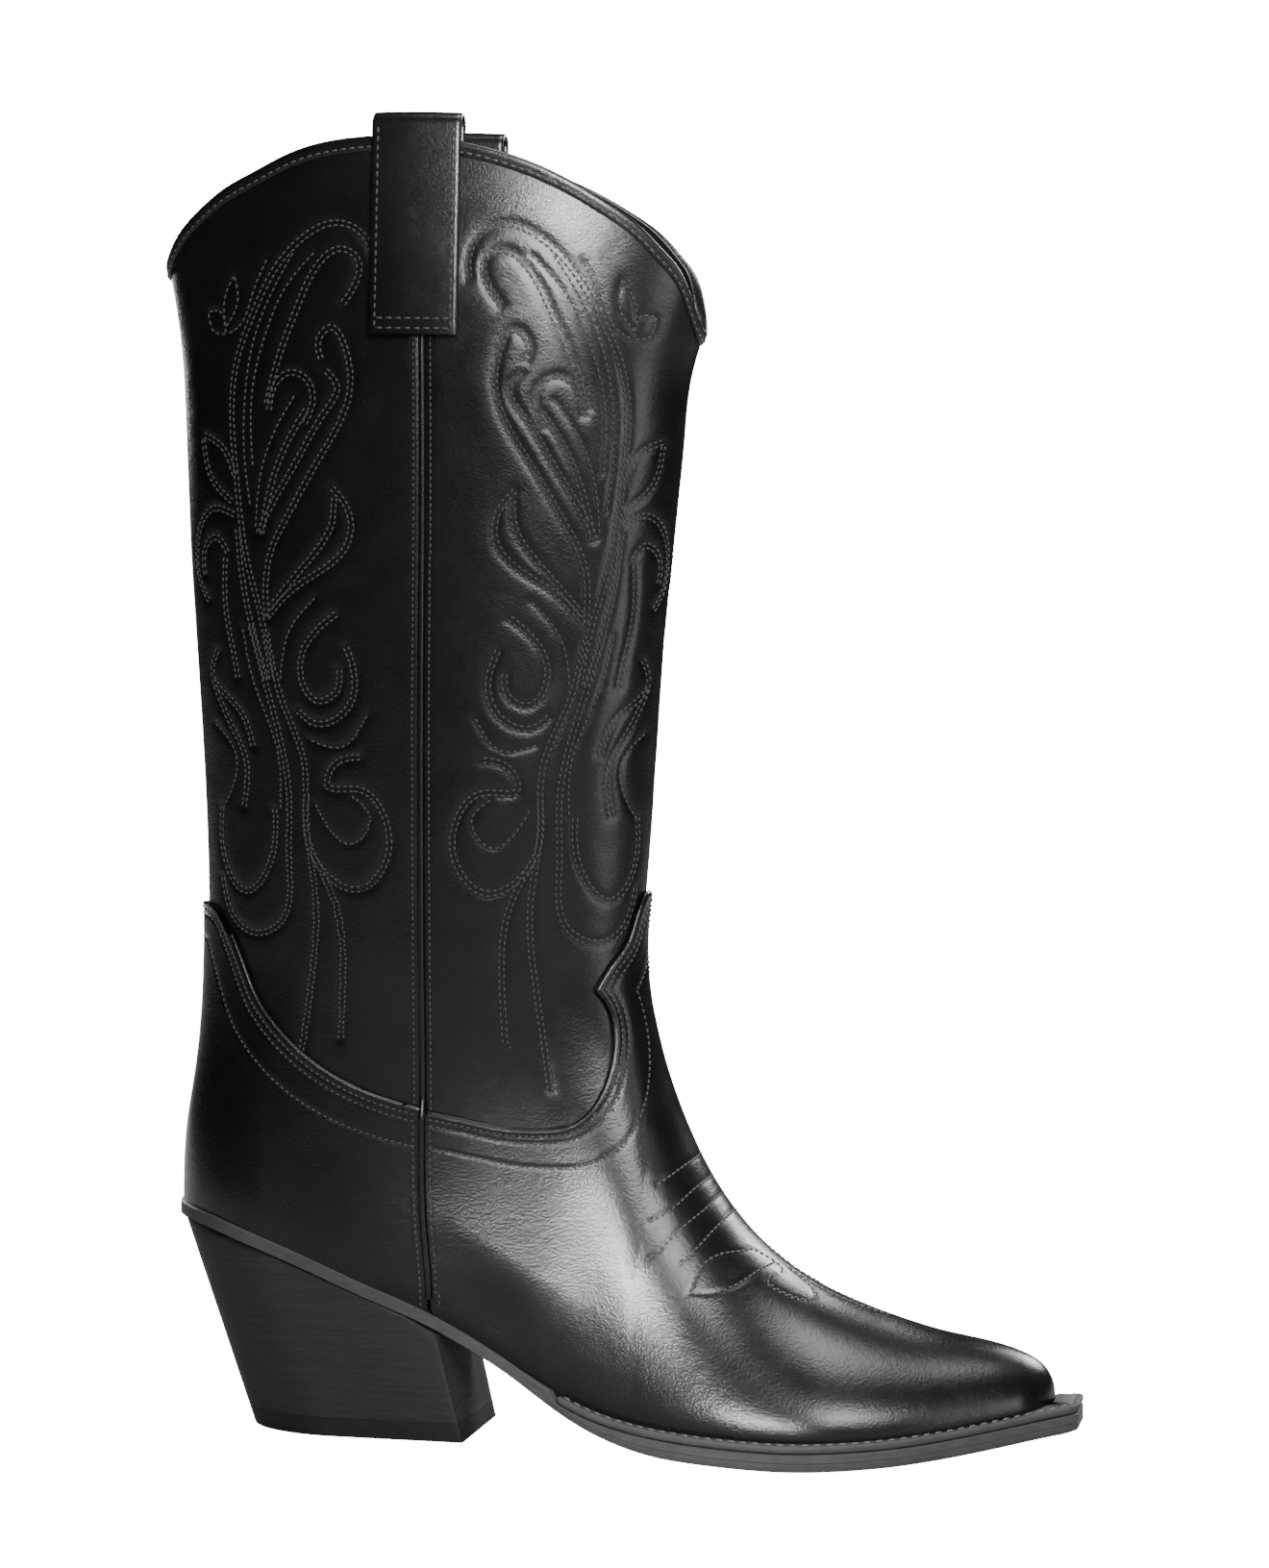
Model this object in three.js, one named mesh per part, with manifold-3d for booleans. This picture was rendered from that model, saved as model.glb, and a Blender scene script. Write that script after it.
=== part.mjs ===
// A right-foot cowboy boot with a stacked, underslung heel, built as its separate pieces.
// Millimetres, +X towards the toe, +Y towards the inner (medial) side, +Z up, floor at z = 0.
// The leather lies on one smooth form. Angle phi runs round it: 0 at the back centre line, a
// quarter turn at the lateral seam, half a turn at the front centre line. Height t runs up it,
// from 0 at the feather line, where the upper meets the sole, to 1 at the top line.
import * as THREE from 'three';
import { mergeVertices } from 'three/addons/utils/BufferGeometryUtils.js';
import Module from 'manifold-3d';

const wasm = await Module();
wasm.setup();

// ---- Driving dimensions ----
const FEATHER = [[-6, 70.4], [0, 70], [17, 67.2], [34, 61.4], [50, 55], [65, 48.6], [80, 42.5], [102, 31],
  [114, 23.8], [127, 16.8], [145, 11.2], [163, 9], [181, 8.3], [200, 8.2], [216, 9], [234, 10.4],
  [252, 12.8], [268, 15.6], [287, 19.2]];
const BACK = [[2, 66], [2, 74], [2.4, 92], [4.8, 111], [6.3, 129], [6.7, 148], [6.4, 166], [4.5, 203],
  [1.6, 239], [-1.4, 276], [-3.6, 312], [-6.6, 345], [-10, 363], [-17, 410]];
const TOE_X = 276;
const FRONT = [[275.6, 23], [272.6, 27.8], [267, 31], [256, 34], [242, 36.4], [224, 41.2],
  [206, 47.8], [188, 58.8], [177, 69.6], [167.6, 82.6], [159.4, 98.4], [152.6, 116], [147.8, 134],
  [145.6, 152], [146.2, 171], [148.2, 207], [149.8, 243], [152.4, 278], [155.4, 314], [157.2, 332],
  [160.6, 345], [167, 372], [174, 410]];
const TOP_LINE = [[-10, 363], [-4, 371.5], [4, 379], [13, 385.5], [23, 390.5], [36, 396.6], [51, 400.4],
  [65, 401.6], [80, 401.2], [93, 399.4], [106, 396], [120, 390.4], [134, 382.6], [144, 375.4],
  [152, 367], [157, 358.6], [160.6, 345]];
const LATERAL_HALF = [[-6, 26], [10, 28], [32, 28.6], [60, 27.4], [85, 24.5], [105, 22.6], [125, 24.6],
  [145, 30.5], [165, 37], [185, 41.6], [200, 43], [212, 42.6], [225, 39.2], [240, 32.4], [252, 25.6],
  [264, 18.4], [272, 13.4], [286, 6.8]];
const MEDIAL_HALF = [[-6, 26], [10, 28], [32, 28.4], [60, 26.4], [85, 22.6], [105, 20.2], [125, 21.6],
  [145, 27], [165, 33.4], [180, 37], [195, 38.4], [208, 37.6], [222, 33.6], [237, 27.6], [252, 21.6],
  [264, 16.6], [272, 12.8], [286, 6.8]];
const SHAFT_HALF = [[70, 28], [120, 28.4], [150, 29.6], [200, 31.6], [250, 33], [300, 34], [350, 34.4],
  [410, 34.2]];
const SEAM_X = [[0, 85.5], [0.15, 83.2], [0.43, 81.8], [0.7, 80.3], [0.9, 79], [1, 77]];
const BACK_SHARE = [[0, 0], [0.012, 0.012], [0.05, 0.036], [0.2, 0.1], [0.43, 0.2], [0.6, 0.42], [0.8, 0.708],
  [1, 1]];
const VAMP_EDGE = [[80, 103.4], [95, 101], [107, 99], [118, 98.8], [126.8, 100.2], [132.6, 104.2], [137, 111.6],
  [139.2, 121], [139, 130.6], [133.2, 141.2], [137.6, 149.2], [141.6, 155], [143.6, 163.6], [146, 172], [160, 175]];
const COUNTER_EDGE = [[-6, 167], [6, 165.4], [14, 164], [19, 156], [24, 146], [29, 136], [36, 127.4],
  [45, 119.4], [56, 112.6], [70, 107], [88, 103]];

const BACK_TOP_Z = 363;
const FRONT_TOP_Z = 345;
const HEEL_ROUND = 31;
const TOE_ROUND = 9;
const SWELL = 1.2;
const SWELL_HEIGHT = 9;
// Above the narrow waist of the sole the upper fills out again, by WAIST_FILL at WAIST_X.
const WAIST_FILL = 4;
const WAIST_X = 110;
const WAIST_REACH = 25;
const FOOT_POWER = 1.55;
const SHAFT_POWER = 2.25;

const GAP = 0.3;
const LEATHER = 1.5;
const LINING = 0.8;
const PANEL_OUT = 0;
const PANEL_IN = -LEATHER;
const LINING_OUT = PANEL_IN - GAP;
const LINING_IN = LINING_OUT - LINING;
const COVER_IN = GAP;
const COVER_OUT = GAP + LEATHER;
const MARGIN = 11;
const TOE_MARGIN = 4.5;
const PANEL_FOOT_Z = 90;
const PANEL_TUCK = 50;
const LINING_JOIN_Z = 88;

const PIPING_HALF = 1.1;
const PIPING_RISE = 0.8;
const SEAM_CLEARANCE = PIPING_HALF + GAP;
const BINDING_DEPTH = 3.6;
const BINDING = 0.7;
const BINDING_GAP = 0.45;

const STRAP_BACK_X = 62.6;
const STRAP_FRONT_X = 90.4;
const STRAP_TOP_Z = 409.8;
const STRAP_FOOT_Z = 342;
const STRAP_LEATHER = 1.8;
const STRAP_OUT = 3.3;
const STRAP_IN = -5.9;
const STRAP_CORNER = 3;

const WELT = 2.4;
const WELT_START_X = 126.6;
const WELT_INSET = 8;
const SOLE_TOE_X = 286;
const WAIST_SOLE = 4.3;
const BALL_SOLE = 8.15;
const WAIST_EDGE = 2.4;
const WELT_EDGE = 5.7;
const INSOLE = 2.5;
const SOCK = 1;

const HEEL_BACK_FLOOR_X = 24.8;
const HEEL_BACK_TOP_X = -0.6;
const HEEL_BREAST_FLOOR_X = 97;
const HEEL_BREAST_TOP_X = 87;
const HEEL_BREAST_TOP_Z = 38;
const HEEL_TOP_Z = 70;
const HEEL_HALF_FLOOR = 26.4;
const HEEL_HALF_TOP = 30.4;
const TOP_PIECE = 6;
const LIFT_PITCH = 5.5;
const LIFT_COUNT = 11;
const NAIL_RADIUS = 1.1;
const NAIL_LENGTH = 30;
const NAIL_PLACES = [[22, 0], [36, -14], [36, 14], [60, -14], [60, 14]];
const SHANK = 1.4;
const SHANK_HALF = 7;
const SHANK_START_X = 44;
const SHANK_END_X = 146;
const RIVET_RADIUS = 1.6;
const RIVET_PLACES = [54, 136];

const BACK_COLUMNS = [10, 20, 30, 40, 50, 60, 70, 80];
const FRONT_COLUMNS = [5, 10, 15, 20, 25, 31, 40, 50, 60, 70, 79, 85];
const RIM_ROW = 0.965;
const ROWS = [0.012, 0.03, 0.07, 0.12, 0.18, 0.25, 0.31, 0.36, 0.41, 0.46, 0.53, 0.62, 0.72, 0.82, 0.91,
  RIM_ROW, 1];

// ---- Curves ----
const smooth = (v, low, high) => THREE.MathUtils.smoothstep(v, low, high);
const lerp = THREE.MathUtils.lerp;

// Natural cubic spline through [u, v] pairs, straight beyond both ends.
function spline(points) {
  const last = points.length - 1;
  const step = i => points[i + 1][0] - points[i][0];
  const slope = i => (points[i + 1][1] - points[i][1]) / step(i);
  const bend = new Array(last + 1).fill(0);
  const upper = new Array(last + 1).fill(0);
  for (let i = 1; i < last; i++) {
    const pivot = 2 * (step(i - 1) + step(i)) - step(i - 1) * upper[i - 1];
    upper[i] = step(i) / pivot;
    bend[i] = (6 * (slope(i) - slope(i - 1)) - step(i - 1) * bend[i - 1]) / pivot;
  }
  for (let i = last - 1; i > 0; i--) bend[i] -= upper[i] * bend[i + 1];
  const startSlope = slope(0) - step(0) * bend[1] / 6;
  const endSlope = slope(last - 1) + step(last - 1) * bend[last - 1] / 6;
  return u => {
    if (u <= points[0][0]) return points[0][1] + startSlope * (u - points[0][0]);
    if (u >= points[last][0]) return points[last][1] + endSlope * (u - points[last][0]);
    let i = 0;
    while (u > points[i + 1][0]) i++;
    const h = step(i);
    const a = (points[i + 1][0] - u) / h;
    const b = 1 - a;
    const curve = (a ** 3 - a) * bend[i] + (b ** 3 - b) * bend[i + 1];
    return a * points[i][1] + b * points[i + 1][1] + curve * h * h / 6;
  };
}

// Spline through [x, z] points by running length; returns { x(s), z(s), length }.
function path(points) {
  const run = [0];
  for (let i = 1; i < points.length; i++) {
    run.push(run[i - 1] + Math.hypot(points[i][0] - points[i - 1][0], points[i][1] - points[i - 1][1]));
  }
  return {
    x: spline(points.map((p, i) => [run[i], p[0]])),
    z: spline(points.map((p, i) => [run[i], p[1]])),
    length: run[run.length - 1],
  };
}

// The argument between low and high at which a rising function reaches a value.
function solve(rising, value, low, high) {
  for (let i = 0; i < 40; i++) {
    const middle = (low + high) / 2;
    if (rising(middle) < value) low = middle;
    else high = middle;
  }
  return (low + high) / 2;
}

const featherZ = spline(FEATHER);
const backX = spline(BACK.map(([x, z]) => [z, x]));
const topLineZ = spline(TOP_LINE);
const lateralHalf = spline(LATERAL_HALF);
const medialHalf = spline(MEDIAL_HALF);
const shaftHalf = spline(SHAFT_HALF);
const seamX = spline(SEAM_X);
const backShare = spline(BACK_SHARE);
const front = path([[TOE_X, featherZ(TOE_X)], ...FRONT]);
const FRONT_TOP_RUN = solve(front.z, FRONT_TOP_Z, 0, front.length);
const BACK_FOOT_Z = featherZ(backX(70));
const INSTEP_X = 151;
const INSTEP_RISE = 4;
const INSTEP_RUN = solve(s => -front.x(s), -INSTEP_X, 0, FRONT_TOP_RUN / 2);

const frontX = z => front.x(solve(front.z, z, 0, front.length));

// Height of the ridge above x; behind the instep it is carried on steeply.
function ridgeZ(x) {
  if (x < INSTEP_X) return front.z(INSTEP_RUN) + INSTEP_RISE * (INSTEP_X - x);
  return front.z(solve(s => -front.x(s), -x, 0, INSTEP_RUN));
}

const roundEnd = (distance, radius) => 1 - Math.max(0, 1 - distance / radius) ** 2;

// Half the width of the form at a place in side view; side is -1 lateral, 1 medial.
function halfWidth(x, z, side) {
  const aboveFeather = Math.max(0, z - featherZ(x));
  const swell = SWELL * (aboveFeather / SWELL_HEIGHT) * Math.exp(1 - aboveFeather / SWELL_HEIGHT);
  const fill = WAIST_FILL * Math.exp(-(((x - WAIST_X) / WAIST_REACH) ** 2)) * smooth(aboveFeather, 4, 34);
  const plan = (side < 0 ? lateralHalf(x) : medialHalf(x)) + swell + fill;
  const toRidge = Math.min(1, aboveFeather / Math.max(1e-6, ridgeZ(x) - featherZ(x)));
  const heelEnd = roundEnd(Math.max(0, x - backX(z)), HEEL_ROUND);
  const toeEnd = roundEnd(Math.max(0, TOE_X - x), TOE_ROUND);
  const foot = plan ** 2 * heelEnd * toeEnd * (1 - toRidge ** FOOT_POWER);
  const across = (x - backX(z)) / (frontX(z) - backX(z));
  const shaft = shaftHalf(z) ** 2 * Math.max(0, 1 - Math.abs(2 * across - 1) ** SHAFT_POWER);
  return Math.sqrt(Math.max(0, lerp(foot, shaft, smooth(z, 72, 158))));
}

// ---- The form ----
const backZ = t => lerp(BACK_FOOT_Z, BACK_TOP_Z, backShare(t));

function ringX(psi, t) {
  const seam = seamX(t);
  if (psi <= Math.PI / 2) {
    const rear = backX(backZ(t));
    return rear + (seam - rear) * (1 - Math.cos(psi));
  }
  const nose = front.x(t * FRONT_TOP_RUN);
  return nose - (nose - seam) * (1 + Math.cos(psi));
}

function chordZ(psi, t) {
  const rear = backX(backZ(t));
  const nose = front.x(t * FRONT_TOP_RUN);
  return lerp(backZ(t), front.z(t * FRONT_TOP_RUN), (ringX(psi, t) - rear) / (nose - rear));
}

function ringZ(psi, t) {
  const low = featherZ(ringX(psi, 0)) - chordZ(psi, 0);
  const high = topLineZ(ringX(psi, 1)) - chordZ(psi, 1);
  return chordZ(psi, t) + (1 - t) ** 5 * low + t ** 8 * high;
}

function formPoint(phi, t) {
  const turn = Math.atan2(Math.sin(phi), Math.cos(phi));
  const psi = Math.abs(turn);
  const side = turn >= 0 ? -1 : 1;
  const x = ringX(psi, t);
  const z = ringZ(psi, t);
  const closed = psi < 1e-9 || Math.PI - psi < 1e-9;
  return new THREE.Vector3(x, closed ? 0 : side * halfWidth(x, z, side), z);
}

// Point, outward normal and upward tangent of the form.
function formFrame(phi, t) {
  const step = 1e-3;
  const low = Math.max(0, t - step);
  const high = Math.min(1, t + step);
  const round = formPoint(phi + step, t).sub(formPoint(phi - step, t));
  const up = formPoint(phi, high).sub(formPoint(phi, low)).normalize();
  const normal = new THREE.Vector3().crossVectors(round, up).normalize();
  return { point: formPoint(phi, t), normal, up, along: round.length() / (2 * step) };
}

function lifted(phi, t, offset) {
  const { point, normal } = formFrame(phi, t);
  return point.addScaledVector(normal, offset);
}

// A point on the form above or below a place in side view, moved out by an offset.
function sidePoint(x, z, side, offset) {
  const step = 0.5;
  const slopeX = (halfWidth(x + step, z, side) - halfWidth(x - step, z, side)) / (2 * step);
  const slopeZ = (halfWidth(x, z + step, side) - halfWidth(x, z - step, side)) / (2 * step);
  const normal = new THREE.Vector3(-slopeX, side, -slopeZ).normalize();
  return new THREE.Vector3(x, side * halfWidth(x, z, side), z).addScaledVector(normal, offset);
}

// A point in the plane of the sole, inset from the feather line (or outside it if negative).
function planPoint(phi, inset, rise) {
  const step = 1e-3;
  const round = formPoint(phi + step, 0).sub(formPoint(phi - step, 0)).setZ(0).normalize();
  const point = formPoint(phi, 0).add(new THREE.Vector3(-round.y, round.x, 0).multiplyScalar(inset));
  return point.setZ(featherZ(point.x) + rise);
}

// ---- Solids ----
function quad(triangles, a, b, c, d) {
  triangles.push(a, b, c, a, c, d);
}

// Six times the volume inside a closed set of triangles, negative if they face inwards.
function signedVolume(points, triangles) {
  let volume = 0;
  for (let i = 0; i < triangles.length; i += 3) {
    const [a, b, c] = [points[triangles[i]], points[triangles[i + 1]], points[triangles[i + 2]]];
    volume += a.dot(new THREE.Vector3().crossVectors(b, c));
  }
  return volume;
}

function geometryOf(points, triangles) {
  if (signedVolume(points, triangles) < 0) triangles.reverse();
  const geometry = new THREE.BufferGeometry();
  geometry.setAttribute('position', new THREE.Float32BufferAttribute(points.flatMap(p => [p.x, p.y, p.z]), 3));
  geometry.setIndex(triangles);
  const merged = mergeVertices(geometry, 1e-3);
  const index = merged.index.array;
  const kept = [];
  for (let i = 0; i < index.length; i += 3) {
    const [a, b, c] = [index[i], index[i + 1], index[i + 2]];
    if (a !== b && b !== c && a !== c) kept.push(a, b, c);
  }
  merged.setIndex(kept);
  return merged;
}

// Closed tube of sections, each a list of points that run the same way round; the ends are capped.
function loft(sections) {
  const count = sections[0].length;
  const triangles = [];
  for (let s = 0; s + 1 < sections.length; s++) {
    for (let i = 0; i < count; i++) {
      const j = (i + 1) % count;
      quad(triangles, s * count + i, s * count + j, (s + 1) * count + j, (s + 1) * count + i);
    }
  }
  const end = (sections.length - 1) * count;
  for (const [a, b, c] of capTriangles(sections[0])) triangles.push(c, b, a);
  for (const [a, b, c] of capTriangles(sections[sections.length - 1])) triangles.push(end + a, end + b, end + c);
  return geometryOf(sections.flat(), triangles);
}

// Triangles over a flat outline, found in the plane that the outline faces.
function capTriangles(outline) {
  const facing = new THREE.Vector3();
  outline.forEach((p, i) => {
    facing.add(new THREE.Vector3().crossVectors(p, outline[(i + 1) % outline.length]));
  });
  const turn = new THREE.Quaternion().setFromUnitVectors(facing.normalize(), new THREE.Vector3(0, 0, 1));
  const flat = outline.map(p => p.clone().applyQuaternion(turn)).map(p => new THREE.Vector2(p.x, p.y));
  return THREE.ShapeUtils.triangulateShape(flat, []);
}

// Closed sheet: grid[row][column] holds { outer, inner }; rows run up and columns run with phi.
function sheet(grid) {
  const rows = grid.length;
  const columns = grid[0].length;
  const points = [];
  for (const row of grid) for (const cell of row) points.push(cell.outer);
  for (const row of grid) for (const cell of row) points.push(cell.inner);
  const out = (r, c) => r * columns + c;
  const inn = (r, c) => rows * columns + r * columns + c;
  const triangles = [];
  for (let r = 0; r + 1 < rows; r++) {
    for (let c = 0; c + 1 < columns; c++) {
      quad(triangles, out(r, c), out(r, c + 1), out(r + 1, c + 1), out(r + 1, c));
      quad(triangles, inn(r, c), inn(r + 1, c), inn(r + 1, c + 1), inn(r, c + 1));
    }
    quad(triangles, inn(r, 0), out(r, 0), out(r + 1, 0), inn(r + 1, 0));
    quad(triangles, out(r, columns - 1), inn(r, columns - 1), inn(r + 1, columns - 1), out(r + 1, columns - 1));
  }
  for (let c = 0; c + 1 < columns; c++) {
    quad(triangles, inn(0, c), inn(0, c + 1), out(0, c + 1), out(0, c));
    quad(triangles, out(rows - 1, c), out(rows - 1, c + 1), inn(rows - 1, c + 1), inn(rows - 1, c));
  }
  return geometryOf(points, triangles);
}

// Flat piece that follows the sole: lateral and medial edges from back to front as [x, y].
function slab(lateral, medial, topZ, bottomZ) {
  const count = lateral.length;
  const points = [];
  for (const edge of [lateral, medial]) {
    for (const [x, y] of edge) {
      points.push(new THREE.Vector3(x, y, topZ(x)), new THREE.Vector3(x, y, bottomZ(x)));
    }
  }
  const at = (side, i, level) => (side * count + i) * 2 + level;
  const triangles = [];
  for (let i = 0; i + 1 < count; i++) {
    quad(triangles, at(0, i, 0), at(0, i + 1, 0), at(1, i + 1, 0), at(1, i, 0));
    quad(triangles, at(0, i, 1), at(1, i, 1), at(1, i + 1, 1), at(0, i + 1, 1));
    quad(triangles, at(0, i, 1), at(0, i + 1, 1), at(0, i + 1, 0), at(0, i, 0));
    quad(triangles, at(1, i, 0), at(1, i + 1, 0), at(1, i + 1, 1), at(1, i, 1));
  }
  const end = count - 1;
  quad(triangles, at(0, end, 1), at(1, end, 1), at(1, end, 0), at(0, end, 0));
  quad(triangles, at(1, 0, 1), at(0, 0, 1), at(0, 0, 0), at(1, 0, 0));
  return geometryOf(points, triangles);
}

function solidOf(geometry) {
  const bare = geometry.index ? geometry.clone() : mergeVertices(geometry);
  bare.deleteAttribute('normal');
  bare.deleteAttribute('uv');
  const merged = mergeVertices(bare, 1e-4);
  const vertProperties = new Float32Array(merged.attributes.position.array);
  const triVerts = new Uint32Array(merged.index.array);
  return new wasm.Manifold(new wasm.Mesh({ numProp: 3, vertProperties, triVerts }));
}

function geometryFrom(solid) {
  const result = solid.getMesh();
  const geometry = new THREE.BufferGeometry();
  geometry.setAttribute('position', new THREE.Float32BufferAttribute(result.vertProperties, 3));
  geometry.setIndex(Array.from(result.triVerts));
  return mergeVertices(geometry, 1e-3);
}

function cutBy(geometry, ...cutters) {
  let solid = solidOf(geometry);
  for (const cutter of cutters) solid = solid.subtract(solidOf(cutter));
  return geometryFrom(solid);
}

// Prism through the boot over a side view outline of [x, z] points.
function sidePrism(outline) {
  const reach = 90;
  const shape = new THREE.Shape(outline.map(([x, z]) => new THREE.Vector2(x, z)));
  const prism = new THREE.ExtrudeGeometry(shape, { depth: 2 * reach, bevelEnabled: false });
  return prism.rotateX(Math.PI / 2).translate(0, reach, 0);
}

function rod(radius, low, high) {
  const length = high.distanceTo(low);
  const geometry = new THREE.CylinderGeometry(radius, radius, length, 8);
  const axis = high.clone().sub(low).normalize();
  geometry.applyQuaternion(new THREE.Quaternion().setFromUnitVectors(new THREE.Vector3(0, 1, 0), axis));
  const middle = low.clone().add(high).multiplyScalar(0.5);
  return geometry.translate(middle.x, middle.y, middle.z);
}

// ---- Materials ----
const finish = (color, roughness, metalness = 0) => new THREE.MeshStandardMaterial({ color, roughness, metalness });
const upperLeather = finish(0x141414, 0.4);
const liningLeather = finish(0x242220, 0.75);
const soleEdge = finish(0x353535, 0.7);
const heelStack = finish(0x3a3a3a, 0.75);
const topRubber = finish(0x262626, 0.85);
const fibreBoard = finish(0x8a7350, 0.9);
const cork = finish(0x9b744a, 0.95);
const stiffener = finish(0xb9b3a2, 0.8);
const steel = finish(0x9a9da0, 0.35, 1);

const boot = new THREE.Group();

function add(name, geometry, material) {
  const mesh = new THREE.Mesh(geometry, material);
  mesh.name = name;
  boot.add(mesh);
}

// ---- Upper ----
const radians = THREE.MathUtils.degToRad;

// Columns of one half, from seam to seam round the back (0) or the front (pi).
function halfColumns(centre) {
  const near = (centre === 0 ? BACK_COLUMNS : FRONT_COLUMNS).map(degrees => radians(90 - degrees));
  return [...near, 0, ...near.map(a => -a)].map(a => centre + a).sort((a, b) => a - b);
}

// Angle of the panel edge beside the seam at lateral (+1) or medial (-1), on the side of centre.
function seamPhi(centre, sign, t) {
  const seam = sign * Math.PI / 2;
  const inward = centre === 0 ? -sign : sign;
  const probe = seam + inward * 0.02;
  const turn = SEAM_CLEARANCE / formFrame(probe, t).along;
  return seam + inward * turn;
}

function phisAt(centre, t) {
  const inner = halfColumns(centre);
  if (centre === 0) return [seamPhi(0, -1, t), ...inner, seamPhi(0, 1, t)];
  return [seamPhi(Math.PI, 1, t), ...inner, 2 * Math.PI + seamPhi(Math.PI, -1, t)];
}

function formRow(centre, t, outer, inner) {
  return phisAt(centre, t).map(phi => ({ outer: lifted(phi, t, outer), inner: lifted(phi, t, inner) }));
}

// Lowest row of a piece that stands on the turned-in margin.
function standingRow(centre, outer, inner, rise) {
  return phisAt(centre, 0).map(phi => ({
    outer: planPoint(phi, -outer, rise),
    inner: planPoint(phi, -inner, rise),
  }));
}

// The lasting margin: leather turned in under the insole.
function marginRows(centre) {
  const reach = phi => lerp(MARGIN, TOE_MARGIN, smooth(formPoint(phi, 0).x, 246, 270));
  const phis = phisAt(centre, 0);
  const turned = phis.map(phi => ({
    outer: planPoint(phi, reach(phi), GAP),
    inner: planPoint(phi, reach(phi), GAP + LEATHER),
  }));
  const corner = phis.map(phi => ({
    outer: planPoint(phi, -COVER_OUT, GAP),
    inner: planPoint(phi, -COVER_IN, GAP + LEATHER),
  }));
  return [turned, corner];
}

const rowsBetween = (low, high) => ROWS.filter(t => t >= low && t <= high);
const BOARD_RISE = GAP + LEATHER + GAP;

const aboveVamp = sidePrism([...VAMP_EDGE, [200, 175], [200, 300], [60, 300], [60, 103.4]]);
const aboveCounter = sidePrism([...COUNTER_EDGE, [110, 103], [110, 300], [-60, 300], [-60, 167]]);

function vamp() {
  const rows = rowsBetween(0, 0.61).map(t => formRow(Math.PI, t, COVER_OUT, COVER_IN));
  return cutBy(sheet([...marginRows(Math.PI), ...rows]), aboveVamp);
}

function counterCover() {
  const rows = rowsBetween(0, 0.61).map(t => formRow(0, t, COVER_OUT, COVER_IN));
  return cutBy(sheet([...marginRows(0), ...rows]), aboveCounter);
}

function frontPanel() {
  const rows = rowsBetween(0.08, 1).map(t => formRow(Math.PI, t, PANEL_OUT, PANEL_IN));
  const below = sidePrism([[40, -20], [300, -20], [300, PANEL_FOOT_Z], [40, PANEL_FOOT_Z]]);
  return cutBy(sheet(rows), below);
}

function backPanel() {
  const rows = rowsBetween(0.08, 1).map(t => formRow(0, t, PANEL_OUT, PANEL_IN));
  const tuckZ = PANEL_FOOT_Z + PANEL_TUCK;
  const below = sidePrism([[-60, -20], [120, -20], [120, PANEL_FOOT_Z], [70, PANEL_FOOT_Z], [20, tuckZ],
    [-60, tuckZ]]);
  return cutBy(sheet(rows), below);
}

function upperLining(centre) {
  const rows = rowsBetween(0.08, 1).map(t => formRow(centre, t, LINING_OUT, LINING_IN));
  const below = sidePrism([[-60, -20], [300, -20], [300, LINING_JOIN_Z + GAP], [-60, LINING_JOIN_Z + GAP]]);
  return cutBy(sheet(rows), below);
}

function lowerLining(centre) {
  const foot = standingRow(centre, LINING_OUT, LINING_IN, BOARD_RISE);
  const rows = rowsBetween(0, 0.53).map(t => formRow(centre, t, LINING_OUT, LINING_IN));
  const above = sidePrism([[-60, LINING_JOIN_Z], [300, LINING_JOIN_Z], [300, 300], [-60, 300]]);
  return cutBy(sheet([foot, ...rows]), above);
}

function heelStiffener() {
  const foot = standingRow(0, PANEL_OUT, PANEL_IN, BOARD_RISE);
  const rows = rowsBetween(0, 0.47).map(t => formRow(0, t, PANEL_OUT, PANEL_IN));
  const outside = sidePrism([[-60, 118], [12, 118], [62, 56], [50, -20], [140, -20], [140, 300], [-60, 300]]);
  return cutBy(sheet([foot, ...rows]), outside);
}

function toePuff() {
  const foot = standingRow(Math.PI, PANEL_OUT, PANEL_IN, BOARD_RISE);
  const rows = rowsBetween(0, 0.32).map(t => formRow(Math.PI, t, PANEL_OUT, PANEL_IN));
  const outside = sidePrism([[40, -20], [236, -20], [226, 120], [40, 120]]);
  return cutBy(sheet([foot, ...rows]), outside);
}

function piping(sign) {
  const phi = sign * Math.PI / 2;
  const stations = [0.022, ...rowsBetween(0.04, 0.95), 0.965];
  const sections = stations.map(t => {
    const { point, normal, up } = formFrame(phi, t);
    const along = new THREE.Vector3().crossVectors(up, normal);
    const crest = COVER_OUT * (1 - smooth(point.z, 101, 112)) + PIPING_RISE;
    const corner = (a, n) => point.clone().addScaledVector(along, a).addScaledVector(normal, n);
    return [corner(-PIPING_HALF, PANEL_IN + 0.1), corner(PIPING_HALF, PANEL_IN + 0.1),
      corner(PIPING_HALF, crest - 0.6), corner(PIPING_HALF / 2, crest), corner(-PIPING_HALF / 2, crest),
      corner(-PIPING_HALF, crest - 0.6)];
  });
  return loft(sections);
}

function binding(centre) {
  const halfTurn = Math.PI / 2 - GAP / 160;
  const phis = [centre - halfTurn, ...phisAt(centre, 1), centre + halfTurn];
  const low = LINING_IN - BINDING_GAP;
  const sections = phis.map(phi => {
    const corner = (offset, above) => {
      const rim = lifted(phi, 1, offset);
      const up = rim.clone().sub(lifted(phi, RIM_ROW, offset)).normalize();
      return rim.addScaledVector(up, above);
    };
    const crest = BINDING_GAP + BINDING;
    return [corner(BINDING_GAP, -BINDING_DEPTH), corner(crest, -BINDING_DEPTH), corner(crest, crest),
      corner(low - BINDING, crest), corner(low - BINDING, -BINDING_DEPTH), corner(low, -BINDING_DEPTH),
      corner(low, BINDING_GAP), corner(BINDING_GAP, BINDING_GAP)];
  });
  return loft(sections);
}

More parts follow.
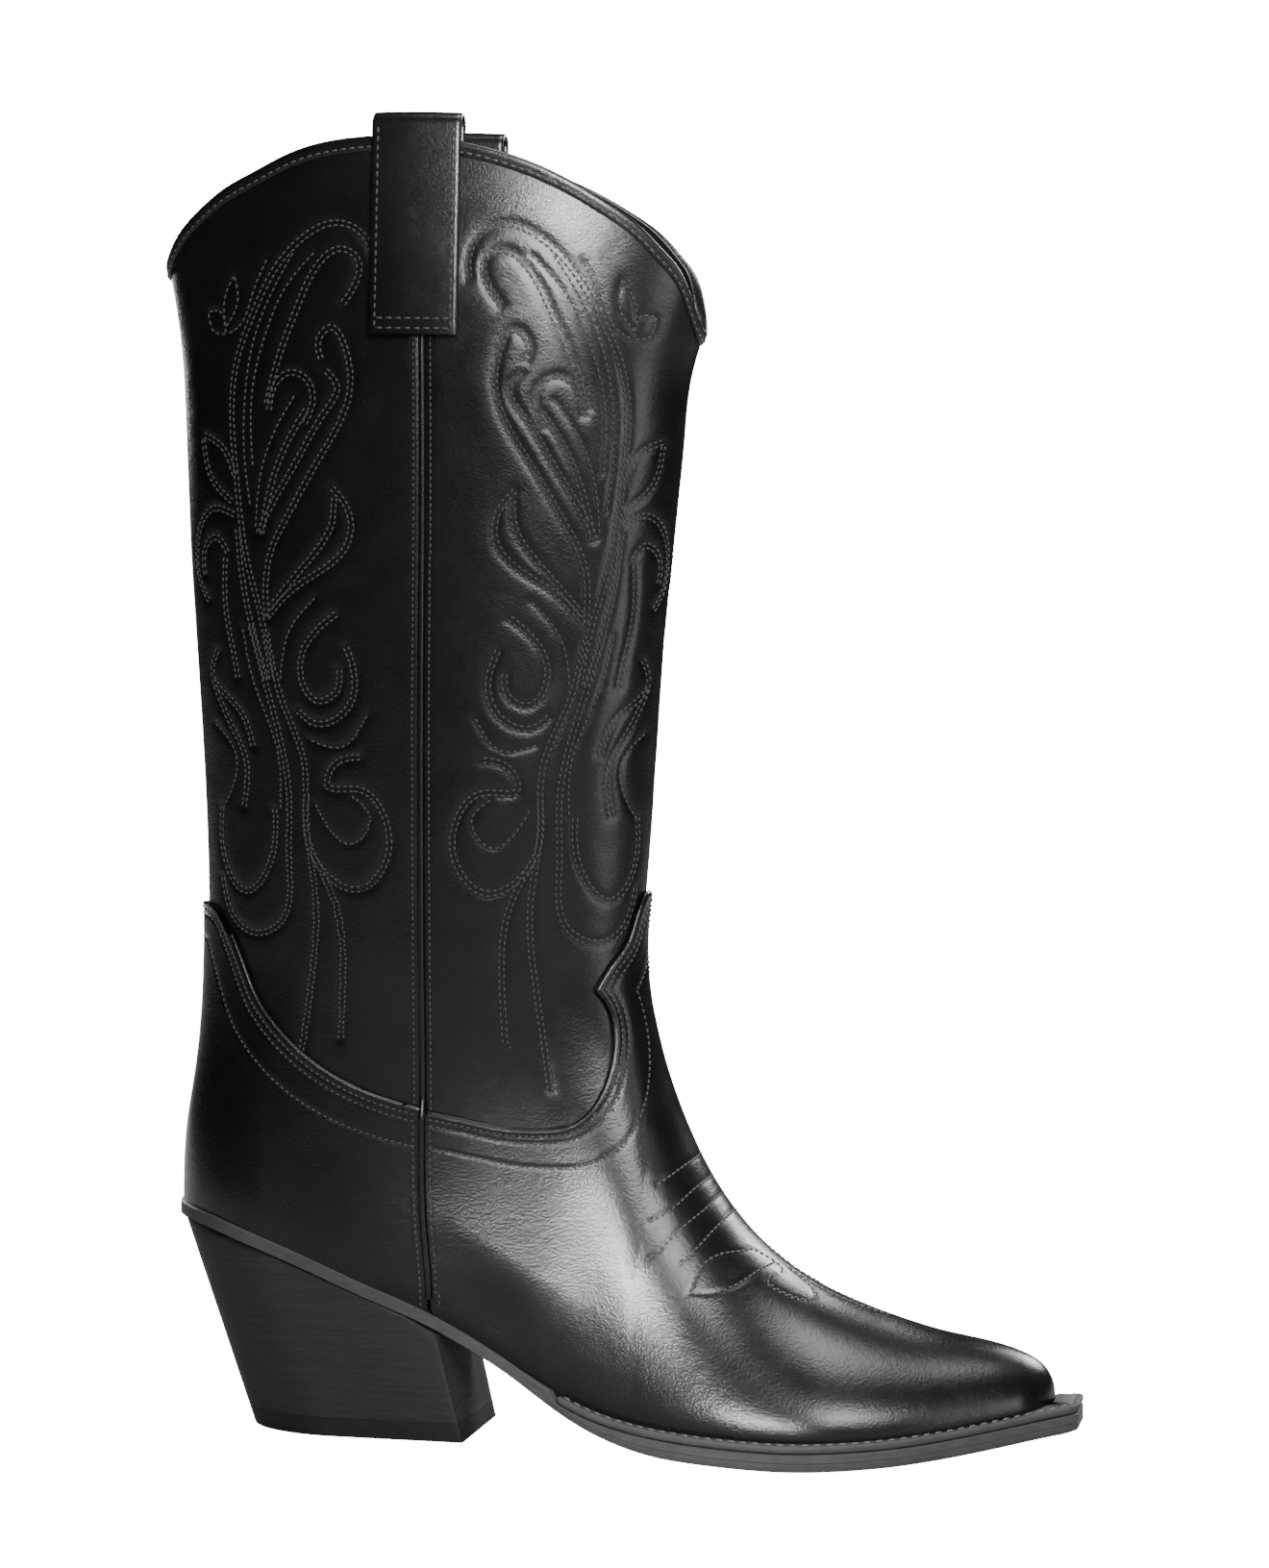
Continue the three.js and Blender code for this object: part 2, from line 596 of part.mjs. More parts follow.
// Pull strap: one length of leather over the top line, sewn outside and inside.
function pullStrap(side) {
  const legZ = [STRAP_FOOT_Z, 358, 375, 390];
  const turnZ = STRAP_TOP_Z - STRAP_CORNER;
  const skin = inset => {
    const outX = STRAP_OUT - inset;
    const inX = STRAP_IN + inset;
    const topZ = STRAP_TOP_Z - inset;
    const round = STRAP_CORNER - inset;
    const bow = [0, 30, 60, 90].map(radians);
    const outTurn = bow.map(a => [outX - round + round * Math.cos(a), turnZ + round * Math.sin(a), topZ]);
    const inTurn = [...bow].reverse().map(a => [inX + round - round * Math.cos(a), turnZ + round * Math.sin(a), topZ]);
    return [...legZ.map(z => [outX, z]), ...outTurn, ...inTurn, ...[...legZ].reverse().map(z => [inX, z])];
  };
  const across = [0, 0.33, 0.67, 1].map(f => lerp(STRAP_BACK_X, STRAP_FRONT_X, f));
  const sections = across.map(x => {
    const place = ([offset, z]) => sidePoint(x, z, side, offset);
    return [...skin(0).map(place), ...skin(STRAP_LEATHER).map(place).reverse()];
  });
  return loft(sections);
}

// ---- Sole and insole ----
const soleReach = x => lerp(WAIST_EDGE, WELT_EDGE, smooth(x, 105, 140));
const soleThickness = x => lerp(WAIST_SOLE, BALL_SOLE, smooth(x, 108, 165));

// Edge of the sole outside the feather line, as [x, y] from back to toe.
function soleEdgePoints(side, xs) {
  const half = side < 0 ? lateralHalf : medialHalf;
  const rear = HEEL_BACK_TOP_X;
  return xs.map(x => [x, side * (half(x) + soleReach(x)) * Math.sqrt(roundEnd(x - rear, HEEL_ROUND))]);
}

const HEEL_STATIONS = [0, 10, 20, 30, 42, 55, 70, 90].map(radians)
  .map(a => HEEL_BACK_TOP_X + HEEL_ROUND * (1 - Math.cos(a)));
const STEP_X = WELT_START_X - 0.8;
const WAIST_STATIONS = [44, 58, 72, 86, 96, 106, 116];
const FORE_STATIONS = [135, 144, 154, 165, 176, 188, 200, 212, 224, 236, 248, 260, 272, SOLE_TOE_X];

const nails = NAIL_PLACES.map(([x, y]) => {
  const topZ = featherZ(x) + BOARD_RISE + INSOLE - GAP;
  return { low: new THREE.Vector3(x, y, topZ - NAIL_LENGTH), high: new THREE.Vector3(x, y, topZ) };
});
const nailHoles = nails.map(({ low, high }) => rod(NAIL_RADIUS + GAP, low.clone().setZ(low.z - GAP),
  high.clone().setZ(high.z + 2 * GAP)));

function outsole() {
  const xs = [...HEEL_STATIONS, ...WAIST_STATIONS, STEP_X - 0.5, STEP_X, ...FORE_STATIONS];
  const topZ = x => featherZ(x) - (x >= STEP_X ? WELT + GAP : 0);
  const body = slab(soleEdgePoints(-1, xs), soleEdgePoints(1, xs), topZ, x => featherZ(x) - soleThickness(x));
  return cutBy(body, ...nailHoles);
}

// Welt: a strip from the waist round the toe and back, stitched to the sole below it.
function welt() {
  const xs = [WELT_START_X, ...FORE_STATIONS];
  const outer = [...soleEdgePoints(-1, xs), ...soleEdgePoints(1, xs).reverse()];
  const phiAt = x => Math.PI - Math.acos(THREE.MathUtils.clamp(1 - (TOE_X - Math.min(x, TOE_X)) / (TOE_X - seamX(0)), -1, 1));
  const inset = x => lerp(WELT_INSET, TOE_MARGIN, smooth(x, 240, 276));
  const innerHalf = xs.map(x => planPoint(phiAt(x), inset(x), 0)).map(p => [p.x, p.y]);
  const innerOther = xs.map(x => planPoint(-phiAt(x), inset(x), 0)).map(p => [p.x, p.y]);
  innerHalf[xs.length - 1] = [TOE_X - TOE_MARGIN, -3];
  innerOther[xs.length - 1] = [TOE_X - TOE_MARGIN, 3];
  const inner = [...innerHalf, ...innerOther.reverse()];
  const sections = outer.map(([x, y], i) => {
    const [ix, iy] = inner[i];
    return [new THREE.Vector3(x, y, featherZ(x)), new THREE.Vector3(x, y, featherZ(x) - WELT),
      new THREE.Vector3(ix, iy, featherZ(ix) - WELT), new THREE.Vector3(ix, iy, featherZ(ix))];
  });
  return loft(sections);
}

const SOLE_COLUMNS = [0, ...BACK_COLUMNS, 90, ...FRONT_COLUMNS.map(d => 90 + d), 180];

// Piece inset from the feather line between two angles, in degrees from the back centre line.
function insetSlab(from, to, inset, low, high) {
  const columns = SOLE_COLUMNS.filter(d => d >= from && d <= to).map(radians);
  const place = phi => planPoint(phi, inset(formPoint(phi, 0).x), 0);
  const edge = sign => columns.map(phi => place(sign * phi)).map(p => [p.x, p.y]);
  return slab(edge(1), edge(-1), x => featherZ(x) + high, x => featherZ(x) + low);
}

const BED_INSET = -LINING_IN + 2 * GAP;
const bedInset = toeNarrowing => x => BED_INSET + toeNarrowing * smooth(x, 180, 265);

const rivets = RIVET_PLACES.map(x => {
  const slope = (featherZ(x + 1) - featherZ(x - 1)) / 2;
  const normal = new THREE.Vector3(-slope, 0, 1).normalize();
  const foot = new THREE.Vector3(x, 0, featherZ(x) + GAP);
  return { low: foot.clone().addScaledVector(normal, 0.2), high: foot.addScaledVector(normal, 3.6) };
});
const rivetHoles = rivets.map(({ low, high }) => {
  const axis = high.clone().sub(low).normalize();
  return rod(RIVET_RADIUS + GAP, low.clone().addScaledVector(axis, -2), high.clone().addScaledVector(axis, 2));
});

function insoleBoard() {
  const board = insetSlab(0, 180, bedInset(1.4), BOARD_RISE, BOARD_RISE + INSOLE);
  return cutBy(board, ...nailHoles, ...rivetHoles);
}

function sockLining() {
  const low = BOARD_RISE + INSOLE + GAP;
  return insetSlab(0, 180, bedInset(2.6), low, low + SOCK);
}

function shank() {
  const xs = Array.from({ length: 14 }, (_, i) => lerp(SHANK_START_X, SHANK_END_X, i / 13));
  const half = x => SHANK_HALF * Math.sqrt(roundEnd(Math.min(x - SHANK_START_X, SHANK_END_X - x) + 1, 5));
  const edge = side => xs.map(x => [x, side * half(x)]);
  const plate = slab(edge(-1), edge(1), x => featherZ(x) + GAP + SHANK, x => featherZ(x) + GAP);
  return cutBy(plate, ...rivetHoles, ...nailHoles);
}

const filler = () => insetSlab(110, 150, () => MARGIN + 2 * GAP, 0.1 - WELT, BOARD_RISE - GAP);

// ---- Heel ----
function heelOutline(z) {
  const rear = lerp(HEEL_BACK_FLOOR_X, HEEL_BACK_TOP_X, z / HEEL_TOP_Z);
  const breast = lerp(HEEL_BREAST_FLOOR_X, HEEL_BREAST_TOP_X, z / HEEL_BREAST_TOP_Z);
  const half = lerp(HEEL_HALF_FLOOR, HEEL_HALF_TOP, z / HEEL_TOP_Z);
  const turns = [0, 14, 28, 42, 56, 72, 90].map(radians);
  const lateral = turns.map(a => [rear + HEEL_ROUND * (1 - Math.cos(a)), -half * Math.sin(a)]);
  lateral.push([breast, -half]);
  const medial = lateral.slice(1).map(([x, y]) => [x, -y]).reverse();
  return [...lateral, ...medial].map(([x, y]) => new THREE.Vector3(x, y, z));
}

function seatCutter() {
  const xs = [-20, 0, 10, 17, 26, 34, 42, 50, 58, 65, 72, 80, 91, 102, 110];
  const seat = xs.map(x => [x, featherZ(x) - soleThickness(x) - GAP]);
  return sidePrism([...seat, [110, 130], [-20, 130]]);
}

function heelPieces() {
  add('heel_top_piece', loft([heelOutline(0), heelOutline(TOP_PIECE)]), topRubber);
  const seat = seatCutter();
  for (let i = 0; i < LIFT_COUNT; i++) {
    const low = TOP_PIECE + GAP + i * LIFT_PITCH;
    const block = loft([heelOutline(low), heelOutline(low + LIFT_PITCH - GAP)]);
    add(`heel_lift_${String(i + 1).padStart(2, '0')}`, cutBy(block, seat, ...nailHoles), heelStack);
  }
  nails.forEach(({ low, high }, i) => add(`heel_nail_${i + 1}`, rod(NAIL_RADIUS, low, high), steel));
}

// ---- Assembly ----
add('shaft_front_panel', frontPanel(), upperLeather);
add('shaft_back_panel', backPanel(), upperLeather);
add('vamp', vamp(), upperLeather);
add('counter_cover', counterCover(), upperLeather);
add('lateral_side_piping', piping(1), upperLeather);
add('medial_side_piping', piping(-1), upperLeather);
add('top_binding_front', binding(Math.PI), upperLeather);
add('top_binding_back', binding(0), upperLeather);
add('lateral_pull_strap', pullStrap(-1), upperLeather);
add('medial_pull_strap', pullStrap(1), upperLeather);
add('shaft_front_lining', upperLining(Math.PI), liningLeather);
add('shaft_back_lining', upperLining(0), liningLeather);
add('vamp_lining', lowerLining(Math.PI), liningLeather);
add('heel_lining', lowerLining(0), liningLeather);
add('heel_counter_stiffener', heelStiffener(), stiffener);
add('toe_puff', toePuff(), stiffener);
add('sock_lining', sockLining(), liningLeather);
add('insole_board', insoleBoard(), fibreBoard);
add('steel_shank', shank(), steel);
rivets.forEach(({ low, high }, i) => add(`shank_rivet_${i + 1}`, rod(RIVET_RADIUS, low, high), steel));
add('forefoot_filler', filler(), cork);
add('welt', welt(), soleEdge);
add('outsole', outsole(), soleEdge);
heelPieces();

const bounds = new THREE.Box3().setFromObject(boot);
boot.position.set(-(bounds.min.x + bounds.max.x) / 2, -(bounds.min.y + bounds.max.y) / 2, -bounds.min.z);

export default boot;
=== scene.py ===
"""The looks of a right-foot cowboy boot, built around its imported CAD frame.

Design units are millimetres: +X to the toe, +Y to the inner (medial) side, +Z up, floor at 0.
The upper lies on one smooth form. Angle phi runs round it (0 at the back centre line, pi at the
front), and t runs up it from the feather line (0) to the top line (1). The panels' patterns are
drawn in flat leather coordinates: a is the distance round from a centre line, h the height.
"""
import math

import bpy
import numpy as np
from mathutils import Matrix, Vector, kdtree


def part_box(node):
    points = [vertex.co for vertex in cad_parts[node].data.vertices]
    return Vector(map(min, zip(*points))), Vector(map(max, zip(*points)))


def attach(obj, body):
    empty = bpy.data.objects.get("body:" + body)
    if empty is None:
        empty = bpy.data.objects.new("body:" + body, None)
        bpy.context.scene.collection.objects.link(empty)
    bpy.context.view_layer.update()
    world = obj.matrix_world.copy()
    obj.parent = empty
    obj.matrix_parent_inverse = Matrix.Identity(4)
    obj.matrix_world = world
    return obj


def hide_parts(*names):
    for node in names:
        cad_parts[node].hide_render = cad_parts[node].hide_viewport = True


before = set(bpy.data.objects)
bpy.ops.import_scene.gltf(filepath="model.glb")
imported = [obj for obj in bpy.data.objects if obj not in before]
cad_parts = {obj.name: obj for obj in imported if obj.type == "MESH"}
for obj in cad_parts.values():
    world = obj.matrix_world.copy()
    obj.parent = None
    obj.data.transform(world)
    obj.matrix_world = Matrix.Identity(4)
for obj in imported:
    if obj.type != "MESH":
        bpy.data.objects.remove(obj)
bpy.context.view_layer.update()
MM = 0.001

# ---- Driving dimensions ----
FEATHER = [(-6, 70.4), (0, 70), (17, 67.2), (34, 61.4), (50, 55), (65, 48.6), (80, 42.5), (102, 31),
           (114, 23.8), (127, 16.8), (145, 11.2), (163, 9), (181, 8.3), (200, 8.2), (216, 9), (234, 10.4),
           (252, 12.8), (268, 15.6), (287, 19.2)]
BACK = [(2, 66), (2, 74), (2.4, 92), (4.8, 111), (6.3, 129), (6.7, 148), (6.4, 166), (4.5, 203),
        (1.6, 239), (-1.4, 276), (-3.6, 312), (-6.6, 345), (-10, 363), (-17, 410)]
TOE_X = 276
FRONT = [(275.6, 23), (272.6, 27.8), (267, 31), (256, 34), (242, 36.4), (224, 41.2), (206, 47.8),
         (188, 58.8), (177, 69.6), (167.6, 82.6), (159.4, 98.4), (152.6, 116), (147.8, 134),
         (145.6, 152), (146.2, 171), (148.2, 207), (149.8, 243), (152.4, 278), (155.4, 314),
         (157.2, 332), (160.6, 345), (167, 372), (174, 410)]
TOP_LINE = [(-10, 363), (-4, 371.5), (4, 379), (13, 385.5), (23, 390.5), (36, 396.6), (51, 400.4),
            (65, 401.6), (80, 401.2), (93, 399.4), (106, 396), (120, 390.4), (134, 382.6),
            (144, 375.4), (152, 367), (157, 358.6), (160.6, 345)]
LATERAL_HALF = [(-6, 26), (10, 28), (32, 28.6), (60, 27.4), (85, 24.5), (105, 22.6), (125, 24.6),
                (145, 30.5), (165, 37), (185, 41.6), (200, 43), (212, 42.6), (225, 39.2), (240, 32.4),
                (252, 25.6), (264, 18.4), (272, 13.4), (286, 6.8)]
MEDIAL_HALF = [(-6, 26), (10, 28), (32, 28.4), (60, 26.4), (85, 22.6), (105, 20.2), (125, 21.6),
               (145, 27), (165, 33.4), (180, 37), (195, 38.4), (208, 37.6), (222, 33.6), (237, 27.6),
               (252, 21.6), (264, 16.6), (272, 12.8), (286, 6.8)]
SHAFT_HALF = [(70, 28), (120, 28.4), (150, 29.6), (200, 31.6), (250, 33), (300, 34), (350, 34.4),
              (410, 34.2)]
SEAM_X = [(0, 85.5), (0.15, 83.2), (0.43, 81.8), (0.7, 80.3), (0.9, 79), (1, 77)]
BACK_SHARE = [(0, 0), (0.012, 0.012), (0.05, 0.036), (0.2, 0.1), (0.43, 0.2), (0.6, 0.42),
              (0.8, 0.708), (1, 1)]
# Cut edges of the covers in side view (x, z).
VAMP_EDGE = [(80, 103.4), (95, 101), (107, 99), (118, 98.8), (126.8, 100.2), (132.6, 104.2),
             (137, 111.6), (139.2, 121), (139, 130.6), (136.6, 137.4), (133.4, 141.4)]
TONGUE_EDGE = [(133.4, 141.4), (137.6, 149.2), (141.2, 155), (143.6, 163.6), (146, 172)]
COUNTER_EDGE = [(6.2, 165.4), (10, 165), (14, 163), (19, 156), (24, 146), (29, 136), (36, 127.4),
                (45, 119.4), (56, 112.6), (70, 107), (83, 103.8)]

BACK_TOP_Z, FRONT_TOP_Z = 363, 345
HEEL_ROUND, TOE_ROUND = 31, 9
SWELL, SWELL_HEIGHT = 1.2, 9
WAIST_FILL, WAIST_X, WAIST_REACH = 4, 110, 25
FOOT_POWER, SHAFT_POWER = 1.55, 2.25
INSTEP_X, INSTEP_RISE = 151, 4
GAP, LEATHER, LINING = 0.3, 1.5, 0.8
LINING_OUT = -LEATHER - GAP
LINING_IN = LINING_OUT - LINING
COVER_IN, COVER_OUT = GAP, GAP + LEATHER
BOARD_RISE = LEATHER + 2 * GAP
INSOLE, SOCK, SOCK_BACK_X = 2.5, 1.0, 5.6
SEAM_GAP = 0.65
PIPING_RADIUS = 1.0
WELT, WELT_START_X = 2.4, 126.6
SOLE_TOE_X = 286
WAIST_SOLE, BALL_SOLE = 4.3, 8.15
WAIST_EDGE, WELT_EDGE = 2.4, 5.7
HEEL_BACK_FLOOR_X, HEEL_BACK_TOP_X = 24.8, -0.6
HEEL_BREAST_FLOOR_X, HEEL_BREAST_TOP_X, HEEL_BREAST_TOP_Z = 97, 87, 38
HEEL_TOP_Z, HEEL_HALF_FLOOR, HEEL_HALF_TOP = 70, 26.4, 30.4
TOP_PIECE, LIFT_PITCH, LIFT_COUNT = 6, 5.5, 11
HIGHEST_LIFT_Z = 64.6
STRAP_BACK_X, STRAP_FRONT_X = 62.6, 90.4
STRAP_TOP_Z, STRAP_FOOT_Z, STRAP_LEATHER = 409.8, 342, 1.8
STRAP_OUT, STRAP_IN, STRAP_CORNER = 3.3, -5.9, 3
# Look of the leather and its thread.
FOLD_CREASE, BLOCK_CREASE = 50, 32
STITCH, STITCH_GAP, THREAD_RADIUS = 1.55, 0.5, 0.33
HEAVY_STITCH, HEAVY_RADIUS = 2.1, 0.34
PUFF = 0.13
EDGE_ROWS = (2.6, 4.6, 12)
ROW_PITCH = 1.5
SEAM_ROW, WELT_ROW = 2.0, 2.4

# From the design's origin to the frame's: the breast corner and the two straps say where it is.
SHIFT = np.array([
    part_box("heel_top_piece")[1][0] / MM - HEEL_BREAST_FLOOR_X,
    (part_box("lateral_pull_strap")[0][1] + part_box("medial_pull_strap")[1][1]) / 2 / MM,
    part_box("heel_top_piece")[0][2] / MM,
])


# ---- Curves ----
def smooth(v, low, high):
    f = np.clip((v - low) / (high - low), 0, 1)
    return f * f * (3 - 2 * f)


def lerp(a, b, f):
    return a + (b - a) * f


def spline(points):
    """Natural cubic spline through (u, v) pairs, straight beyond both ends."""
    u = np.array([p[0] for p in points], float)
    v = np.array([p[1] for p in points], float)
    step = np.diff(u)
    slope = np.diff(v) / step
    size = len(u)
    system = np.eye(size)
    right = np.zeros(size)
    for i in range(1, size - 1):
        system[i, i - 1:i + 2] = step[i - 1], 2 * (step[i - 1] + step[i]), step[i]
        right[i] = 6 * (slope[i] - slope[i - 1])
    bend = np.linalg.solve(system, right)
    start_slope = slope[0] - step[0] * bend[1] / 6
    end_slope = slope[-1] + step[-1] * bend[-2] / 6

    def value(at):
        at = np.asarray(at, float)
        i = np.clip(np.searchsorted(u, at) - 1, 0, size - 2)
        h = step[i]
        a = (u[i + 1] - at) / h
        b = 1 - a
        curve = a * v[i] + b * v[i + 1] + ((a**3 - a) * bend[i] + (b**3 - b) * bend[i + 1]) * h * h / 6
        curve = np.where(at < u[0], v[0] + start_slope * (at - u[0]), curve)
        return np.where(at > u[-1], v[-1] + end_slope * (at - u[-1]), curve)
    return value


def curve2d(points, spacing):
    """Smooth open curve through 2D points, sampled evenly."""
    points = np.array(points, float)
    run = np.concatenate([[0], np.cumsum(np.hypot(*np.diff(points, axis=0).T))])
    fine = np.linspace(0, run[-1], 40 * len(points))
    xs = spline(list(zip(run, points[:, 0])))(fine)
    ys = spline(list(zip(run, points[:, 1])))(fine)
    return resample(np.stack([xs, ys], 1), spacing)


def resample(line, spacing):
    run = np.concatenate([[0], np.cumsum(np.linalg.norm(np.diff(line, axis=0), axis=1))])
    count = max(2, int(round(run[-1] / spacing)) + 1)
    at = np.linspace(0, run[-1], count)
    return np.stack([np.interp(at, run, line[:, k]) for k in range(line.shape[1])], 1)


feather_z = spline(FEATHER)
back_x = spline([(z, x) for x, z in BACK])
top_line_z = spline(TOP_LINE)
lateral_half = spline(LATERAL_HALF)
medial_half = spline(MEDIAL_HALF)
shaft_half = spline(SHAFT_HALF)
seam_x = spline(SEAM_X)
back_share = spline(BACK_SHARE)

front_points = np.array([(TOE_X, float(feather_z(TOE_X)))] + FRONT)
front_run = np.concatenate([[0], np.cumsum(np.hypot(*np.diff(front_points, axis=0).T))])
front_path_x = spline(list(zip(front_run, front_points[:, 0])))
front_path_z = spline(list(zip(front_run, front_points[:, 1])))
FRONT_FINE = np.linspace(0, front_run[-1], 20000)
FRONT_FINE_X = front_path_x(FRONT_FINE)
FRONT_FINE_Z = front_path_z(FRONT_FINE)
FRONT_TOP_RUN = float(np.interp(FRONT_TOP_Z, FRONT_FINE_Z, FRONT_FINE))
BACK_FOOT_Z = float(feather_z(back_x(70)))
before_instep = FRONT_FINE_X >= INSTEP_X
before_instep &= FRONT_FINE < FRONT_TOP_RUN / 2
RIDGE_X = FRONT_FINE_X[before_instep][::-1]
RIDGE_Z = FRONT_FINE_Z[before_instep][::-1]


def front_x(z):
    return np.interp(z, FRONT_FINE_Z, FRONT_FINE_X)


def ridge_z(x):
    """Height of the ridge above x; behind the instep it is carried on steeply."""
    return np.where(x < INSTEP_X, RIDGE_Z[0] + INSTEP_RISE * (INSTEP_X - x), np.interp(x, RIDGE_X, RIDGE_Z))


def round_end(distance, radius):
    return 1 - np.maximum(0, 1 - np.maximum(0, distance) / radius) ** 2


def half_width(x, z, side):
    """Half the form's width at a place in side view; side is -1 lateral, 1 medial."""
    above = np.maximum(0, z - feather_z(x))
    swell = SWELL * (above / SWELL_HEIGHT) * np.exp(1 - above / SWELL_HEIGHT)
    fill = WAIST_FILL * np.exp(-(((x - WAIST_X) / WAIST_REACH) ** 2)) * smooth(above, 4, 34)
    plan = np.where(side < 0, lateral_half(x), medial_half(x)) + swell + fill
    to_ridge = np.minimum(1, above / np.maximum(1e-6, ridge_z(x) - feather_z(x)))
    ends = round_end(x - back_x(z), HEEL_ROUND) * round_end(TOE_X - x, TOE_ROUND)
    foot = plan**2 * ends * (1 - to_ridge**FOOT_POWER)
    across = (x - back_x(z)) / (front_x(z) - back_x(z))
    shaft = shaft_half(z) ** 2 * np.maximum(0, 1 - np.abs(2 * across - 1) ** SHAFT_POWER)
    return np.sqrt(np.maximum(0, lerp(foot, shaft, smooth(z, 72, 158))))


# ---- The form ----
def back_z(t):
    return lerp(BACK_FOOT_Z, BACK_TOP_Z, back_share(t))


def ring_x(psi, t):
    seam = seam_x(t)
    rear = back_x(back_z(t))
    nose = front_path_x(t * FRONT_TOP_RUN)
    return np.where(psi <= math.pi / 2, rear + (seam - rear) * (1 - np.cos(psi)),
                    nose - (nose - seam) * (1 + np.cos(psi)))


def chord_z(psi, t):
    rear = back_x(back_z(t))
    nose = front_path_x(t * FRONT_TOP_RUN)
    return lerp(back_z(t), front_path_z(t * FRONT_TOP_RUN), (ring_x(psi, t) - rear) / (nose - rear))


def ring_z(psi, t):
    foot, top = np.zeros_like(t), np.ones_like(t)
    low = feather_z(ring_x(psi, foot)) - chord_z(psi, foot)
    high = top_line_z(ring_x(psi, top)) - chord_z(psi, top)
    return chord_z(psi, t) + (1 - t) ** 5 * low + t**8 * high


def form_point(phi, t):
    phi, t = np.broadcast_arrays(np.asarray(phi, float), np.asarray(t, float))
    turn = np.arctan2(np.sin(phi), np.cos(phi))
    psi = np.abs(turn)
    side = np.where(turn >= 0, -1, 1)
    x = ring_x(psi, t)
    z = ring_z(psi, t)
    closed = (psi < 1e-9) | (math.pi - psi < 1e-9)
    return np.stack([x, np.where(closed, 0, side * half_width(x, z, side)), z], -1)


def unit(v):
    return v / np.maximum(np.linalg.norm(v, axis=-1, keepdims=True), 1e-12)


class Girth:
    """Distance round the form at a level height, from the front (pi) or back (0) centre line."""

    MIDDLE_X = 82
    HEIGHTS = np.arange(20, 404, 2.0)
    STEPS = np.linspace(0, 1, 240)

    def __init__(self, centre):
        self.centre = centre
        start = self.start(self.HEIGHTS)[:, None]
        x = lerp(start, self.MIDDLE_X, self.STEPS[None, :] ** 2)
        z = np.repeat(self.HEIGHTS[:, None], len(self.STEPS), axis=1)
        y = half_width(x, z, -1 if centre else 1)
        y[:, 0] = 0
        step = np.hypot(np.diff(x, axis=1), np.diff(y, axis=1))
        self.run = np.concatenate([np.zeros((len(z), 1)), np.cumsum(step, axis=1)], axis=1)

    def start(self, z):
        return front_x(z) if self.centre else back_x(z)

    def value(self, x, z):
        """Distance from the centre line for places in side view."""
        x, z = np.asarray(x, float), np.asarray(z, float)
        start = self.start(z)
        share = np.sqrt(np.clip((x - start) / (self.MIDDLE_X - start), 0, None))
        row = np.clip((z - self.HEIGHTS[0]) / 2, 0, len(self.HEIGHTS) - 1.001)
        column = np.clip(share, 0, 1) * (len(self.STEPS) - 1.001)
        r, c = row.astype(int), column.astype(int)
        f, g = row - r, column - c
        low = lerp(self.run[r, c], self.run[r, c + 1], g)
        high = lerp(self.run[r + 1, c], self.run[r + 1, c + 1], g)
        beyond = np.maximum(0, share**2 - 1) * np.abs(self.MIDDLE_X - start)
        return lerp(low, high, f) + beyond


FRONT_GIRTH, BACK_GIRTH = Girth(math.pi), Girth(0)


def tree_of(points):
    """Search tree over places in space, or over flat places (a, h)."""
    points = np.asarray(points, float)
    if points.shape[1] == 2:
        points = np.column_stack([points, np.zeros(len(points))])
    tree = kdtree.KDTree(len(points))
    for i, point in enumerate(points):
        tree.insert(point, i)
    tree.balance()
    return tree


# ---- Meshes ----
def mesh_object(name, points, faces, material, crease=None):
    """A smooth mesh in frame metres, with sharp edges where faces meet at more than crease degrees."""
    mesh = bpy.data.meshes.new(name)
    world = (np.asarray(points, float).reshape(-1, 3) + SHIFT) * MM
    mesh.from_pydata(world.tolist(), [], [tuple(f) for f in faces])
    mesh.validate()
    mesh.polygons.foreach_set("use_smooth", [True] * len(mesh.polygons))
    mesh.materials.append(material)
    mesh.update()
    if crease is not None:
        mesh.set_sharp_from_angle(angle=math.radians(crease))
    piece = bpy.data.objects.new(name, mesh)
    bpy.context.scene.collection.objects.link(piece)
    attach(piece, "root")
    return piece


def grid_faces(rows, columns, start=0, flip=False):
    r, c = np.meshgrid(np.arange(rows - 1), np.arange(columns - 1), indexing="ij")
    low = (start + r * columns + c).ravel()
    quads = np.stack([low, low + 1, low + columns + 1, low + columns], 1)
    return (quads[:, ::-1] if flip else quads).tolist()


def sheet_object(name, outer, inner, material, coarse=4):
    """Closed sheet: a fine outer grid and an inner grid with one line in every few."""
    rows, columns = outer.shape[:2]
    row_at = sorted(set(range(0, rows, coarse)) | {rows - 1})
    column_at = sorted(set(range(0, columns, coarse)) | {columns - 1})
    back = inner[np.ix_(row_at, column_at)]
    start = rows * columns
    wide = len(column_at)
    faces = grid_faces(rows, columns) + grid_faces(len(row_at), wide, start, flip=True)
    for row, inner_row, flip in ((0, 0, True), (rows - 1, len(row_at) - 1, False)):
        for k in range(wide - 1):
            line = [row * columns + c for c in range(column_at[k], column_at[k + 1] + 1)]
            wall = line + [start + inner_row * wide + k + 1, start + inner_row * wide + k]
            faces.append(wall[::-1] if flip else wall)
    for column, inner_column, flip in ((0, 0, False), (columns - 1, wide - 1, True)):
        for k in range(len(row_at) - 1):
            line = [r * columns + column for r in range(row_at[k], row_at[k + 1] + 1)]
            wall = line + [start + (k + 1) * wide + inner_column, start + k * wide + inner_column]
            faces.append(wall[::-1] if flip else wall)
    points = np.concatenate([outer.reshape(-1, 3), back.reshape(-1, 3)])
    return mesh_object(name, points, faces, material, FOLD_CREASE)


